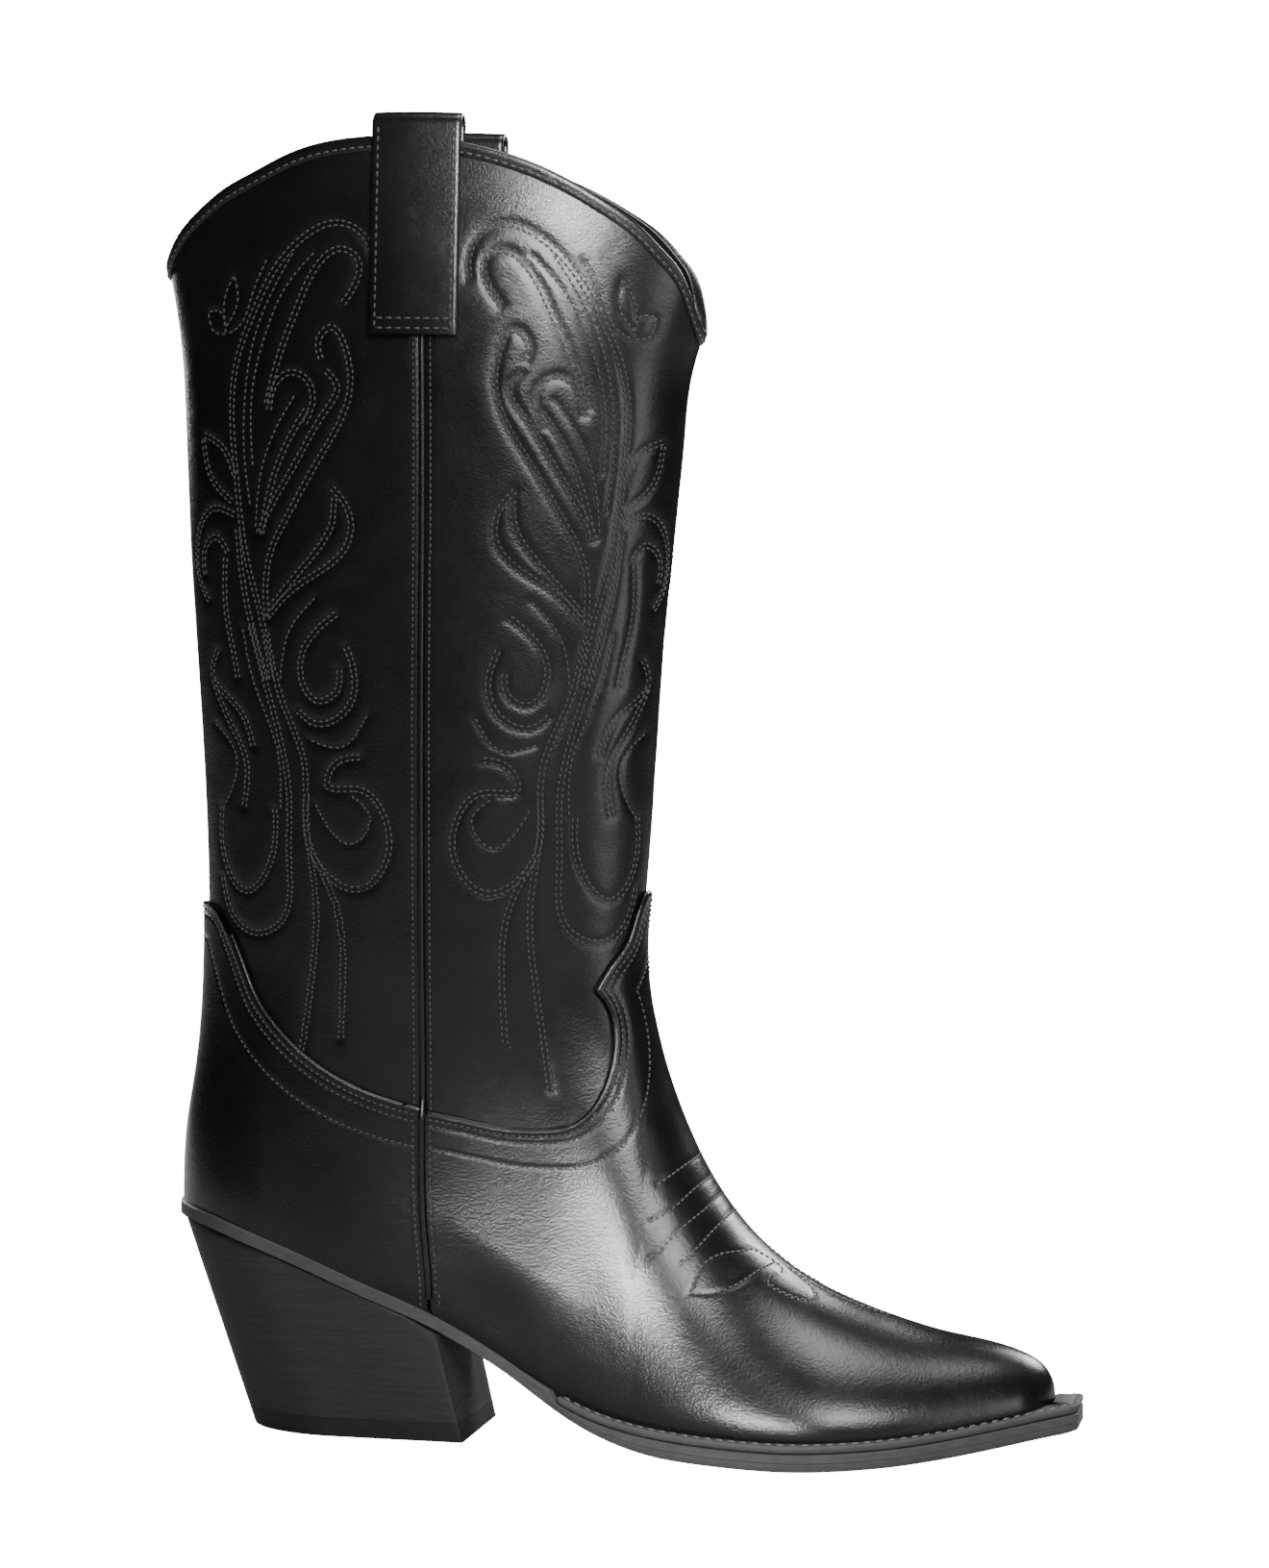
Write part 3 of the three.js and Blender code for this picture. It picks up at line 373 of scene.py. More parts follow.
def tube_object(name, sections, material):
    """Lofted tube with closed ends, through sections (count, corners, 3)."""
    sections = np.asarray(sections, float)
    count, corners = sections.shape[:2]
    faces = []
    for s in range(count - 1):
        for i in range(corners):
            j = (i + 1) % corners
            faces.append([s * corners + i, s * corners + j, (s + 1) * corners + j, (s + 1) * corners + i])
    faces.append(list(range(corners))[::-1])
    faces.append([(count - 1) * corners + i for i in range(corners)])
    return mesh_object(name, sections.reshape(-1, 3), faces, material, FOLD_CREASE)


def stand_in(piece, name):
    """The piece is shown in place of its CAD node."""
    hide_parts(name)


# ---- Materials ----
def principled(name, colour, roughness, specular=0.5):
    material = bpy.data.materials.new(name)
    material.use_nodes = True
    shader = material.node_tree.nodes["Principled BSDF"]
    shader.inputs["Base Color"].default_value = (*colour, 1)
    shader.inputs["Roughness"].default_value = roughness
    shader.inputs["Specular IOR Level"].default_value = specular
    return material, material.node_tree, shader


def noise(tree, scale, detail, stretch=(1, 1, 1)):
    """Noise over the object's own coordinates; scale counts cells per metre."""
    place = tree.nodes.new("ShaderNodeTexCoord")
    mapping = tree.nodes.new("ShaderNodeMapping")
    texture = tree.nodes.new("ShaderNodeTexNoise")
    mapping.inputs["Scale"].default_value = stretch
    texture.inputs["Scale"].default_value = scale
    texture.inputs["Detail"].default_value = detail
    tree.links.new(place.outputs["Object"], mapping.inputs["Vector"])
    tree.links.new(mapping.outputs["Vector"], texture.inputs["Vector"])
    return texture.outputs["Fac"]


def vary(tree, socket, factor, low, high):
    """Lets a texture move a number socket between two values."""
    spread = tree.nodes.new("ShaderNodeMapRange")
    spread.inputs["From Min"].default_value = 0.3
    spread.inputs["From Max"].default_value = 0.7
    spread.inputs["To Min"].default_value = low
    spread.inputs["To Max"].default_value = high
    tree.links.new(factor, spread.inputs["Value"])
    tree.links.new(spread.outputs["Result"], socket)


def tint(tree, shader, factor, dark, light):
    ramp = tree.nodes.new("ShaderNodeValToRGB")
    ramp.color_ramp.elements[0].color = (*dark, 1)
    ramp.color_ramp.elements[1].color = (*light, 1)
    ramp.color_ramp.elements[0].position = 0.35
    ramp.color_ramp.elements[1].position = 0.65
    tree.links.new(factor, ramp.inputs["Fac"])
    tree.links.new(ramp.outputs["Color"], shader.inputs["Base Color"])


def bump(tree, shader, heights, strength, distance):
    """Adds bumps from (texture, weight) pairs."""
    last = None
    for height, share in heights:
        node = tree.nodes.new("ShaderNodeBump")
        node.inputs["Strength"].default_value = strength * share
        node.inputs["Distance"].default_value = distance
        tree.links.new(height, node.inputs["Height"])
        if last is not None:
            tree.links.new(last, node.inputs["Normal"])
        last = node.outputs["Normal"]
    tree.links.new(last, shader.inputs["Normal"])


def leather(name, dark, light, smoothest, roughest, grain=0.16):
    material, tree, shader = principled(name, dark, roughest)
    patches = noise(tree, 45, 3)
    tint(tree, shader, patches, dark, light)
    vary(tree, shader.inputs["Roughness"], noise(tree, 90, 4), smoothest, roughest)
    bump(tree, shader, [(noise(tree, 1400, 5), 1), (noise(tree, 260, 3), 0.6)], grain, 0.0006)
    return material


def sole_material(name, dark, light, stretch):
    material, tree, shader = principled(name, dark, 0.62, 0.35)
    tint(tree, shader, noise(tree, 160, 5, stretch), dark, light)
    bump(tree, shader, [(noise(tree, 500, 4, stretch), 1)], 0.2, 0.0005)
    return material


UPPER = leather("black_upper_leather", (0.004, 0.004, 0.0041), (0.0055, 0.0055, 0.0056), 0.24, 0.28)
LINING_LEATHER = leather("black_lining_leather", (0.016, 0.0155, 0.015), (0.024, 0.023, 0.022), 0.52, 0.64)
SOLE = sole_material("black_sole_edge", (0.046, 0.046, 0.046), (0.058, 0.058, 0.0575), (1, 1, 3))
HEEL = sole_material("black_heel_stack", (0.018, 0.0177, 0.0178), (0.024, 0.0236, 0.0237), (0.4, 0.4, 9))
RUBBER = sole_material("black_heel_rubber", (0.009, 0.009, 0.009), (0.012, 0.012, 0.012), (1, 1, 1))
THREAD = principled("black_thread", (0.045, 0.045, 0.045), 0.4)[0]
WELT_THREAD = principled("grey_welt_thread", (0.10, 0.10, 0.10), 0.5)[0]
BOARD = sole_material("brown_fibre_board", (0.19, 0.115, 0.06), (0.25, 0.155, 0.085), (1, 1, 1))
STIFF = principled("grey_stiffener", (0.30, 0.28, 0.25), 0.7)[0]
CORK = sole_material("cork_filler", (0.30, 0.17, 0.08), (0.42, 0.26, 0.13), (1, 1, 1))
STEEL, _, steel_shader = principled("plain_steel", (0.5, 0.5, 0.5), 0.35)
steel_shader.inputs["Metallic"].default_value = 1


# ---- Uppers: skins, edges and rows of stitching ----
class Skin:
    """One half of the form between the seams, round the back (0) or the front (pi), as a dense grid."""

    def __init__(self, centre, rows, columns, low, high, gap):
        turn = np.linspace(-1, 1, 241)
        fine = np.linspace(0, 1, 241)

        def rise(turned, share):
            return lerp(low(np.abs(turned)), high(np.abs(turned)), share)

        coarse_t = rise(turn[None, :], fine[:, None])
        coarse = form_point(centre + turn[None, :] * math.pi / 2, coarse_t)
        rises = np.linalg.norm(np.diff(coarse, axis=0), axis=-1)
        rises = np.concatenate([np.zeros((1, len(turn))), np.cumsum(rises, axis=0)])
        mean = (rises / rises[-1])[:, 8:-8:16].mean(axis=1)
        share = np.interp(np.linspace(0, 1, rows), mean, fine)
        t = rise(turn[None, :], share[:, None])
        guide = form_point(centre + turn[None, :] * math.pi / 2, t)
        run = np.linalg.norm(np.diff(guide, axis=1), axis=-1)
        run = np.concatenate([np.zeros((rows, 1)), np.cumsum(run, axis=1)], axis=1)
        placed = np.empty((rows, columns))
        for r in range(rows):
            at = np.linspace(run[r, 0] + gap, run[r, -1] - gap, columns)
            placed[r] = np.interp(at, run[r], turn)
        self.t = rise(placed, share[:, None])
        self.point = form_point(centre + placed * math.pi / 2, self.t)
        girth = FRONT_GIRTH if centre else BACK_GIRTH
        self.a = np.sign(placed) * girth.value(self.point[..., 0], self.point[..., 2])
        around = np.gradient(self.point, axis=1)
        climb = np.gradient(self.point, axis=0)
        self.normal = unit(np.cross(around, climb))
        self.along = unit(around)
        self.up = np.cross(self.normal, self.along)
        self.h = self.point[..., 2]
        self.edge_a = np.abs(self.a[:, 0]) + gap
        self.to_seam = (1 - np.abs(placed)) * run[:, -1:] / 2
        self.tree = tree_of(np.stack([self.a.ravel(), self.h.ravel()], 1))

    def lifted(self, offset):
        offset = np.asarray(offset, float)
        return self.point + self.normal * (offset[..., None] if offset.ndim else offset)

    def seam_a(self, h):
        """Distance from the centre line to the side seam at a height."""
        order = np.argsort(self.h[:, 0])
        return np.interp(h, self.h[order, 0], self.edge_a[order])

    def place(self, flat):
        """Points, normals and grid indices for flat (a, h) places."""
        points, normals, indices = [], [], []
        all_points = self.point.reshape(-1, 3)
        all_normals = self.normal.reshape(-1, 3)
        all_along = self.along.reshape(-1, 3)
        all_up = self.up.reshape(-1, 3)
        a_flat, h_flat = self.a.ravel(), self.h.ravel()
        for a, h in flat:
            i = self.tree.find((a, h, 0))[1]
            da, dh = a - a_flat[i], h - h_flat[i]
            rise = (dh - da * all_along[i, 2]) / all_up[i, 2]
            points.append(all_points[i] + da * all_along[i] + np.clip(rise, -2, 2) * all_up[i])
            normals.append(all_normals[i])
            indices.append(i)
        return np.array(points), np.array(normals), np.array(indices)


def distance_to(lines, a, h, reach):
    """Distance from each flat place to the nearest line, capped at reach."""
    if not lines:
        return np.full(a.shape, float(reach))
    tree = tree_of(np.concatenate(lines))
    found = [tree.find((u, v, 0))[2] for u, v in zip(a.ravel(), h.ravel())]
    return np.minimum(reach, found).reshape(a.shape)


def mirrored(line):
    return np.stack([-line[::-1, 0], line[::-1, 1]], 1)


def whole_edge(girth, halves, spacing=0.25):
    """A cut edge drawn in side view, as a flat line joined to its mirror image over the centre line."""
    side = np.concatenate([curve2d(points, 0.5) for points in halves])
    side = np.stack([girth.value(side[:, 0], side[:, 1]), side[:, 1]], 1)
    if side[0, 0] < side[-1, 0]:
        side = side[::-1]
    side[-1, 0] = 0
    side = np.concatenate([[(side[0, 0] + 150, side[0, 1] + 2)], side])
    both = np.concatenate([side, mirrored(side)[1:]])
    return resample(both, spacing)


def is_below(edge, a, h):
    """Whether each flat place lies under the edge, by crossing count along a straight line up."""
    crossings = np.zeros(a.shape, int)
    for (a0, h0), (a1, h1) in zip(edge[:-1], edge[1:]):
        if a0 == a1:
            continue
        inside = ((a >= min(a0, a1)) & (a < max(a0, a1)))
        height = h0 + (a - a0) / (a1 - a0) * (h1 - h0)
        crossings += inside & (height > h)
    return crossings % 2 == 1


def offset_line(edge, distance):
    """The line that runs beside an edge, without the loops that tight corners would make."""
    tangent = unit(np.gradient(edge, axis=0))
    moved = edge + distance * np.stack([-tangent[:, 1], tangent[:, 0]], 1)
    near = distance_to([edge], moved[:, 0], moved[:, 1], 99)
    return resample(moved[near > abs(distance) - 0.12], 0.4)


# ---- Stitching ----
def stitches(points, normals, length, gap, radius, rise):
    """Sections of every stitch along one row: four rings of five points each."""
    run = np.concatenate([[0], np.cumsum(np.linalg.norm(np.diff(points, axis=0), axis=1))])
    count = int((run[-1] + gap) / (length + gap))
    if count < 1:
        return np.zeros((0, 4, 5, 3))
    pitch = run[-1] / count
    middle = (np.arange(count) + 0.5) * pitch
    at = middle[:, None] + np.array([-1, -0.55, 0.55, 1]) * (pitch - gap) / 2
    centre = np.stack([np.interp(at, run, points[:, k]) for k in range(3)], -1)
    up = unit(np.stack([np.interp(at, run, normals[:, k]) for k in range(3)], -1))
    forward = unit(np.gradient(centre, axis=1))
    side = unit(np.cross(forward, up))
    size = radius * np.array([0.35, 1, 1, 0.35])
    lift = rise + radius * np.array([-0.8, 0.1, 0.1, -0.8])
    angle = math.pi / 2 + np.arange(5) * math.pi / 2.5
    ring = (side[:, :, None, :] * np.cos(angle)[None, None, :, None]
            + up[:, :, None, :] * np.sin(angle)[None, None, :, None])
    return (centre + up * lift[None, :, None])[:, :, None, :] + ring * size[None, :, None, None]


def thread_object(name, groups, material):
    """One mesh of many separate stitches."""
    sections = np.concatenate([g for g in groups if len(g)])
    count = len(sections)
    corners, rings = 5, 4
    ring, corner = np.meshgrid(np.arange(rings - 1), np.arange(corners), indexing="ij")
    first = (ring * corners + corner).ravel()
    second = (ring * corners + (corner + 1) % corners).ravel()
    quads = np.stack([first, first + corners, second + corners, second], 1)
    step = corners * rings
    all_quads = (quads[None] + step * np.arange(count)[:, None, None]).reshape(-1, 4).tolist()
    caps = []
    for s in range(count):
        caps.append([s * step + i for i in range(corners)])
        caps.append([s * step + step - corners + i for i in reversed(range(corners))])
    piece = mesh_object(name, sections.reshape(-1, 3), all_quads + caps, material)


def sewn(skin, line, surface, rise):
    """Stitches along a flat line on a skin whose outer surface lies at the given offsets."""
    points, normals, indices = skin.place(line)
    lift = surface.reshape(-1)[indices] if np.ndim(surface) else surface
    raised = points + normals * np.reshape(lift, (-1, 1))
    return stitches(raised, normals, STITCH, STITCH_GAP, THREAD_RADIUS, rise)


def groove(distance, depth=0.16, width=0.75):
    return -depth * np.exp(-(distance / width) ** 2)


# ---- Covers: sheets cut to an edge, with the edge folded under ----
FOLD = np.array([(0, 0), (0.45, -0.03), (0.85, -0.14), (1.2, -0.36), (1.42, -0.72), (1.42, -1.05),
                 (1.2, -1.32), (0.8, -1.44)])
FOLD_REACH = 1.42
BACK_PITCH = 4


def clipped_grid(depth):
    """Faces of a grid up to the fold, cut where the fold's line passes between two grid places.

    Cut places are numbered after the kept ones. Returns the kept places, the faces, the cuts as
    (place, place, share of the way), and the numbers of the cuts in order along the line.
    """
    columns = depth.shape[1]
    kept = depth >= FOLD_REACH
    flat_kept, flat_depth = kept.ravel(), depth.ravel()
    number = np.cumsum(flat_kept) - 1
    total = int(flat_kept.sum())
    cuts, links = {}, {}

    def crossing(i, j):
        key = (min(i, j), max(i, j))
        if key not in cuts:
            share = (FOLD_REACH - flat_depth[i]) / (flat_depth[j] - flat_depth[i])
            cuts[key] = (total + len(cuts), i, j, min(0.98, max(0.02, share)))
        return cuts[key][0]

    corners_kept = kept[:-1, :-1].astype(int) + kept[:-1, 1:] + kept[1:, :-1] + kept[1:, 1:]
    whole = np.argwhere(corners_kept == 4)
    low = whole[:, 0] * columns + whole[:, 1]
    faces = number[np.stack([low, low + 1, low + columns + 1, low + columns], 1)].tolist()
    for r, c in np.argwhere((corners_kept > 0) & (corners_kept < 4)):
        i = r * columns + c
        loop = [i, i + 1, i + columns + 1, i + columns]
        shape, exits = [], []
        for p, q in zip(loop, loop[1:] + loop[:1]):
            if flat_kept[p]:
                shape.append(int(number[p]))
            if flat_kept[p] != flat_kept[q]:
                shape.append(crossing(p, q))
                exits.append((shape[-1], flat_kept[p]))
        faces.append(shape)
        for k, (vertex, leaves) in enumerate(exits):
            if leaves:
                links[vertex] = exits[(k + 1) % len(exits)][0]
    starts = set(links) - set(links.values())
    chain = [min(starts)] if starts else [next(iter(links))]
    while chain[-1] in links and links[chain[-1]] != chain[0]:
        chain.append(links[chain[-1]])
    return flat_kept, faces, [cut[1:] for cut in cuts.values()], np.array(chain)


def toward_edge(flat, along, climb, edge):
    """Directions on the leather from flat places to the nearest places of an edge."""
    tree = tree_of(edge)
    nearest = np.array([edge[tree.find((u, v, 0))[1]] for u, v in flat])
    toward = nearest - flat
    rise = (toward[:, 1:] - toward[:, :1] * along[:, 2:]) / climb[:, 2:]
    away = unit(along * toward[:, :1] + climb * rise)
    for _ in range(3):
        away[1:-1] = unit(away[:-2] + 2 * away[1:-1] + away[2:])
    return away


def folded_cover(name, skin, edge, depth, outer, inner_offset, material):
    """Keeps a skin up to the fold inside its edge, folds the rim under and closes the back."""
    flat_kept, faces, cuts, chain = clipped_grid(depth)
    first, second = (np.array([cut[k] for cut in cuts]) for k in (0, 1))
    share = np.array([cut[2] for cut in cuts])[:, None]

    def at_cuts(grid):
        values = grid.reshape(len(flat_kept), -1)
        return lerp(values[first], values[second], share)

    surface = skin.lifted(outer)
    cut_points = at_cuts(surface)
    points = [surface.reshape(-1, 3)[flat_kept], cut_points]
    rim = chain - len(points[0])
    base = cut_points[rim]
    flat = np.column_stack([at_cuts(skin.a)[rim], at_cuts(skin.h)[rim]])
    normal, along, climb = (unit(at_cuts(grid)[rim]) for grid in (skin.normal, skin.along, skin.up))
    away = toward_edge(flat, along, climb, edge)
    count = len(points[0]) + len(cut_points)
    previous = chain
    for reach, drop in FOLD[1:]:
        points.append(base + away * reach + normal * drop)
        row = count + np.arange(len(rim))
        faces += np.stack([row[:-1], row[1:], previous[1:], previous[:-1]], 1).tolist()
        previous = row
        count += len(rim)
    back = skin.lifted(inner_offset)[::BACK_PITCH, ::BACK_PITCH]
    inside = (depth >= FOLD_REACH * 0.7)[::BACK_PITCH, ::BACK_PITCH]
    number = count + np.arange(inside.size).reshape(inside.shape)
    full = inside[:-1, :-1] & inside[:-1, 1:] & inside[1:, :-1] & inside[1:, 1:]
    corners = [number[:-1, :-1], number[1:, :-1], number[1:, 1:], number[:-1, 1:]]
    faces += np.stack([corner[full] for corner in corners], 1).tolist()
    points.append(back.reshape(-1, 3))
    return mesh_object(name, np.concatenate(points), faces, material)


# ---- Sole, welt and heel outlines ----
def sole_reach(x):
    return lerp(WAIST_EDGE, WELT_EDGE, smooth(x, 105, 140))


def sole_thickness(x):
    return lerp(WAIST_SOLE, BALL_SOLE, smooth(x, 108, 165))


def corner_loss(to_end, radius):
    """How much narrower an outline is close to a square end whose corners are rounded."""
    inside = np.clip(1 - to_end / radius, 0, 1)
    return radius * (1 - np.sqrt(1 - inside**2))


def end_stations(start, end, start_round, end_round, count):
    """Places from start to end, closer together near both rounded ends."""
    turn = np.linspace(0, math.pi / 2, 22)
    middle = np.linspace(start + start_round, end - end_round, count + 2)[1:-1]
    finish = end - end_round * (1 - np.sin(np.linspace(0, math.pi / 2, 9)))
    return np.concatenate([start + start_round * (1 - np.cos(turn)), middle, finish])


def loop_from_sides(xs, lateral, medial, across=9):
    """Closed outline from the back centre along the lateral side, across the end and back."""
    side = np.stack([xs, -lateral], 1)
    other = np.stack([xs, medial], 1)
    share = np.linspace(0, 1, across + 2)[1:-1, None]
    end = lerp(side[-1], other[-1], share)
    return np.concatenate([side, end, other[:0:-1]])


def loop_normals(loop):
    tangent = unit(np.roll(loop, -1, axis=0) - np.roll(loop, 1, axis=0))
    return np.stack([-tangent[:, 1], tangent[:, 0]], 1) * -1


def sole_loop():
    xs = end_stations(HEEL_BACK_TOP_X, SOLE_TOE_X, HEEL_ROUND, 4, 165)
    ends = np.sqrt(round_end(xs - HEEL_BACK_TOP_X, HEEL_ROUND))
    loss = corner_loss(SOLE_TOE_X - xs, 4)
    lateral = (lateral_half(xs) + sole_reach(xs)) * ends - loss
    medial = (medial_half(xs) + sole_reach(xs)) * ends - loss
    return xs, loop_from_sides(xs, lateral, medial)


def cap_faces(start, stations, across=9):
    """Faces that close a ring made by loop_from_sides, flat side up when start is its first vertex."""
    total = 2 * stations + across - 1
    faces = [[start, start + 1, start + total - 1]]
    for i in range(1, stations - 1):
        faces.append([start + i, start + i + 1, start + total - 1 - i, start + total - i])
    faces.append([start + i for i in range(stations - 1, stations + across + 1)])
    return faces


def ringed_block(name, rings, stations, material, across=9):
    """Solid built of stacked outline rings, lowest first."""
    size = len(rings[0])
    faces = [f[::-1] for f in cap_faces(0, stations, across)]
    for k in range(len(rings) - 1):
        for i in range(size):
            j = (i + 1) % size
            faces.append([k * size + i, k * size + j, (k + 1) * size + j, (k + 1) * size + i])
    faces += cap_faces((len(rings) - 1) * size, stations, across)
    faces = [f[::-1] for f in faces] if signed_turn(rings[0]) < 0 else faces
    return mesh_object(name, np.concatenate(rings), faces, material, BLOCK_CREASE)


def signed_turn(ring):
    x, y = ring[:, 0], ring[:, 1]
    return float(np.sum(x * np.roll(y, -1) - np.roll(x, -1) * y))


# ---- Stitching over the toe ----
# Rows as (degrees round from the ridge, share of the way up the form), the same on both sides.
TOE_ROWS = [
    [(33, 0.329), (21, 0.343), (8, 0.351), (0, 0.353)],
    [(42, 0.290), (30, 0.310), (20, 0.324), (8, 0.332), (0, 0.334)],
    [(49, 0.243), (36, 0.281), (20, 0.306), (8, 0.316), (0, 0.318)],
    [(42, 0.245), (25, 0.282), (10, 0.298), (0, 0.302)],
    [(48, 0.194), (42, 0.224), (33, 0.252), (25, 0.261), (17, 0.263), (10, 0.257), (8, 0.247), (13, 0.234)],
    [(48, 0.194), (44, 0.197), (38, 0.209), (29, 0.227), (19, 0.241), (8, 0.247)],
    [(4, 0.239), (6, 0.224), (11, 0.208), (20, 0.193), (23, 0.199), (24, 0.209), (17, 0.232)],
    [(3, 0.239), (4, 0.215), (4, 0.19), (2.6, 0.168), (0, 0.150)],
]


def toe_lines():
    """Every toe row as points and normals on the form."""
    lines = []
    for row in TOE_ROWS:
        drawn = curve2d([(degrees / 100, t) for degrees, t in row], 0.002)
        for side in (-1, 1):
            phi = math.pi + side * np.radians(100 * drawn[:, 0])
            points = resample(form_point(phi, drawn[:, 1]), 0.4)
            lines.append(points)
    return lines


def toe_groove(skin):
    """How deep the toe rows pull the leather down at each place of a skin."""
    points = np.concatenate(toe_lines())
    tree = tree_of(points)
    near = np.full(skin.a.shape, 9.0)
    low, high = points[:, 2].min() - 4, points[:, 2].max() + 4
    front = points[:, 0].min() - 4
    for r, c in np.argwhere((skin.h > low) & (skin.h < high) & (skin.point[..., 0] > front)):
        near[r, c] = min(9.0, tree.find(skin.point[r, c])[2])
    return groove(near, 0.18, 0.7)


def toe_sewn(skin, surface):
    tree = tree_of(skin.point.reshape(-1, 3))
    all_normals, lift = skin.normal.reshape(-1, 3), surface.reshape(-1)
    sets = []
    for points in toe_lines():
        nearest = [tree.find(point)[1] for point in points]
        normals = all_normals[nearest]
        raised = points + normals * lift[nearest][:, None]
        sets.append(stitches(raised, normals, STITCH, STITCH_GAP, THREAD_RADIUS, 0.1))
    return sets


# ---- Upper ----
def foot_t(centre, target):
    """For each share of the way from the centre line to the seam, the t whose height meets target(x)."""
    fine = np.linspace(0, 1, 1500)
    shares = np.linspace(0, 1, 61)
    levels = []
    for share in shares:
        line = form_point(centre + share * math.pi / 2, fine)
        above = line[:, 2] >= target(line[:, 0], share)
        levels.append(fine[np.argmax(above)])
    levels = np.array(levels)
    for _ in range(2):
        levels[1:-1] = (levels[:-2] + 2 * levels[1:-1] + levels[2:]) / 4

    def level(turn):
        return np.interp(turn, shares, levels)

    return level


def seam_roll(skin, width=1.5, depth=1.0):
    """Rounds a sheet down beside the side seams."""
    return -depth * np.maximum(0, 1 - skin.to_seam / width) ** 2


def both_sides(lines):
    return lines + [mirrored(line) for line in lines]


def seam_line(skin, inset, low, high):
    """A line beside the side seam, given as distance from the panel's edge."""
    use = (skin.h[:, -1] > low) & (skin.h[:, -1] < high)
    return np.stack([skin.a[use, -1] - inset, skin.h[use, -1]], 1)


def panel(name, centre, target):
    low = foot_t(centre, target)
    skin = Skin(centre, 400, 225, low, np.ones_like, SEAM_GAP)
    lines = embroidery(skin)
    seams = both_sides([seam_line(skin, SEAM_ROW, 96, 398)])
    near = distance_to(lines, skin.a, skin.h, 16)
    near_seam = distance_to(seams, skin.a, skin.h, 6)
    puff = PUFF * (1 - np.exp(-(near / 1.7) ** 2)) * (1 - smooth(near, 4, 13))
    surface = puff + groove(near) + groove(near_seam, 0.1) + seam_roll(skin)
    piece = sheet_object(name, skin.lifted(surface), skin.lifted(-LEATHER), UPPER)
    stand_in(piece, name)
    rows_sewn = [sewn(skin, line, surface, 0.12) for line in lines + seams]
    thread_object(name + "_thread", rows_sewn, THREAD)


def cover(name, centre, rows, columns, top, edge, extra_groove):
    """A cover sewn over the panels; returns its skin, its outer surface and its stitches."""
    skin = Skin(centre, rows, columns, np.zeros_like, foot_t(centre, top), SEAM_GAP)
    inside = is_below(edge, skin.a, skin.h)
    near_edge = distance_to([edge], skin.a, skin.h, 30)
    depth = np.where(inside, near_edge, -near_edge)
    edge_rows = [trimmed(skin, offset_line(edge, distance)) for distance in EDGE_ROWS]
    lines = edge_rows + both_sides([seam_line(skin, SEAM_ROW, feather_z(83) + 1, 99)])
    near = distance_to(lines, skin.a, skin.h, 8)
    plump = 0.25 * np.exp(-((depth - 1.6) / 1.2) ** 2)
    surface = COVER_OUT + plump + groove(near, 0.16, 0.7) + seam_roll(skin) + extra_groove(skin)
    piece = folded_cover(name, skin, edge, depth, surface, COVER_IN, UPPER)
    stand_in(piece, name)
    return skin, surface, [sewn(skin, line, surface, 0.1) for line in lines]


def trimmed(skin, line):
    """Drops the ends of a line that run past the seam edges of a skin."""
    limit = np.interp(line[:, 1], skin.h[:, -1], skin.a[:, -1]) - 1.0
    return line[np.abs(line[:, 0]) < limit]


def side_point(x, z, side, offset):
    step = 0.5
    slope_x = (half_width(x + step, z, side) - half_width(x - step, z, side)) / (2 * step)
    slope_z = (half_width(x, z + step, side) - half_width(x, z - step, side)) / (2 * step)
    normal = unit(np.stack([-slope_x, side * np.ones_like(slope_x), -slope_z], -1))
    base = np.stack([x, side * half_width(x, z, side), z], -1)
    return base + normal * np.asarray(offset)[..., None], normal


def piping(side):
    phi = math.pi / 2 * (1 if side < 0 else -1)
    t = np.linspace(0.012, 0.968, 360)
    point = form_point(phi, t)
    up = unit(np.gradient(point, axis=0))
    around = unit(form_point(phi + 0.01, t) - form_point(phi - 0.01, t))
    normal = unit(np.cross(around, up))
    along = np.cross(up, normal)
    crest = COVER_OUT * (1 - smooth(point[:, 2], 100, 108)) + 0.85
    sections = []
    for k in range(12):
        angle = k * math.pi / 6
        across, rise = PIPING_RADIUS * math.cos(angle), PIPING_RADIUS * math.sin(angle)
        sections.append(point + along * across + normal * (crest - PIPING_RADIUS + rise)[:, None])
    name = ("lateral" if side < 0 else "medial") + "_side_piping"
    stand_in(tube_object(name, np.stack(sections, 1), UPPER), name)


BINDING_PROFILE = [(0.08, -3.5), (0.5, -3.5), (0.72, -3.2), (0.8, -2.2), (0.98, -1.0), (1.08, -0.2),
                   (0.98, 0.5), (0.6, 0.98), (0, 1.12), (-1.3, 1.14), (-2.6, 1.12), (-3.2, 0.95),
                   (-3.58, 0.4), (-3.64, -0.4), (-3.5, -2.2), (-3.4, -3.2), (-3.15, -3.5), (-2.68, -3.5),
                   (-2.68, 0), (0.08, 0)]


def binding(name, centre):
    half_turn = math.pi / 2 - 0.004
    phi = centre + np.linspace(-half_turn, half_turn, 260)
    rim = form_point(phi, 1)
    around = unit(np.gradient(rim, axis=0))
    up = unit(rim - form_point(phi, 0.985))
    normal = unit(np.cross(around, up))
    sections = [rim + normal * offset + up * above for offset, above in BINDING_PROFILE]
    stand_in(tube_object(name, np.stack(sections, 1), UPPER), name)
    outside = stitches(rim + normal * 0.8 - up * 2.3, normal, 2.2, 0.6, 0.36, 0.02)
    inside = stitches(rim - normal * 3.5 - up * 2.3, -normal, 2.2, 0.6, 0.36, 0.02)
    return [outside, inside]


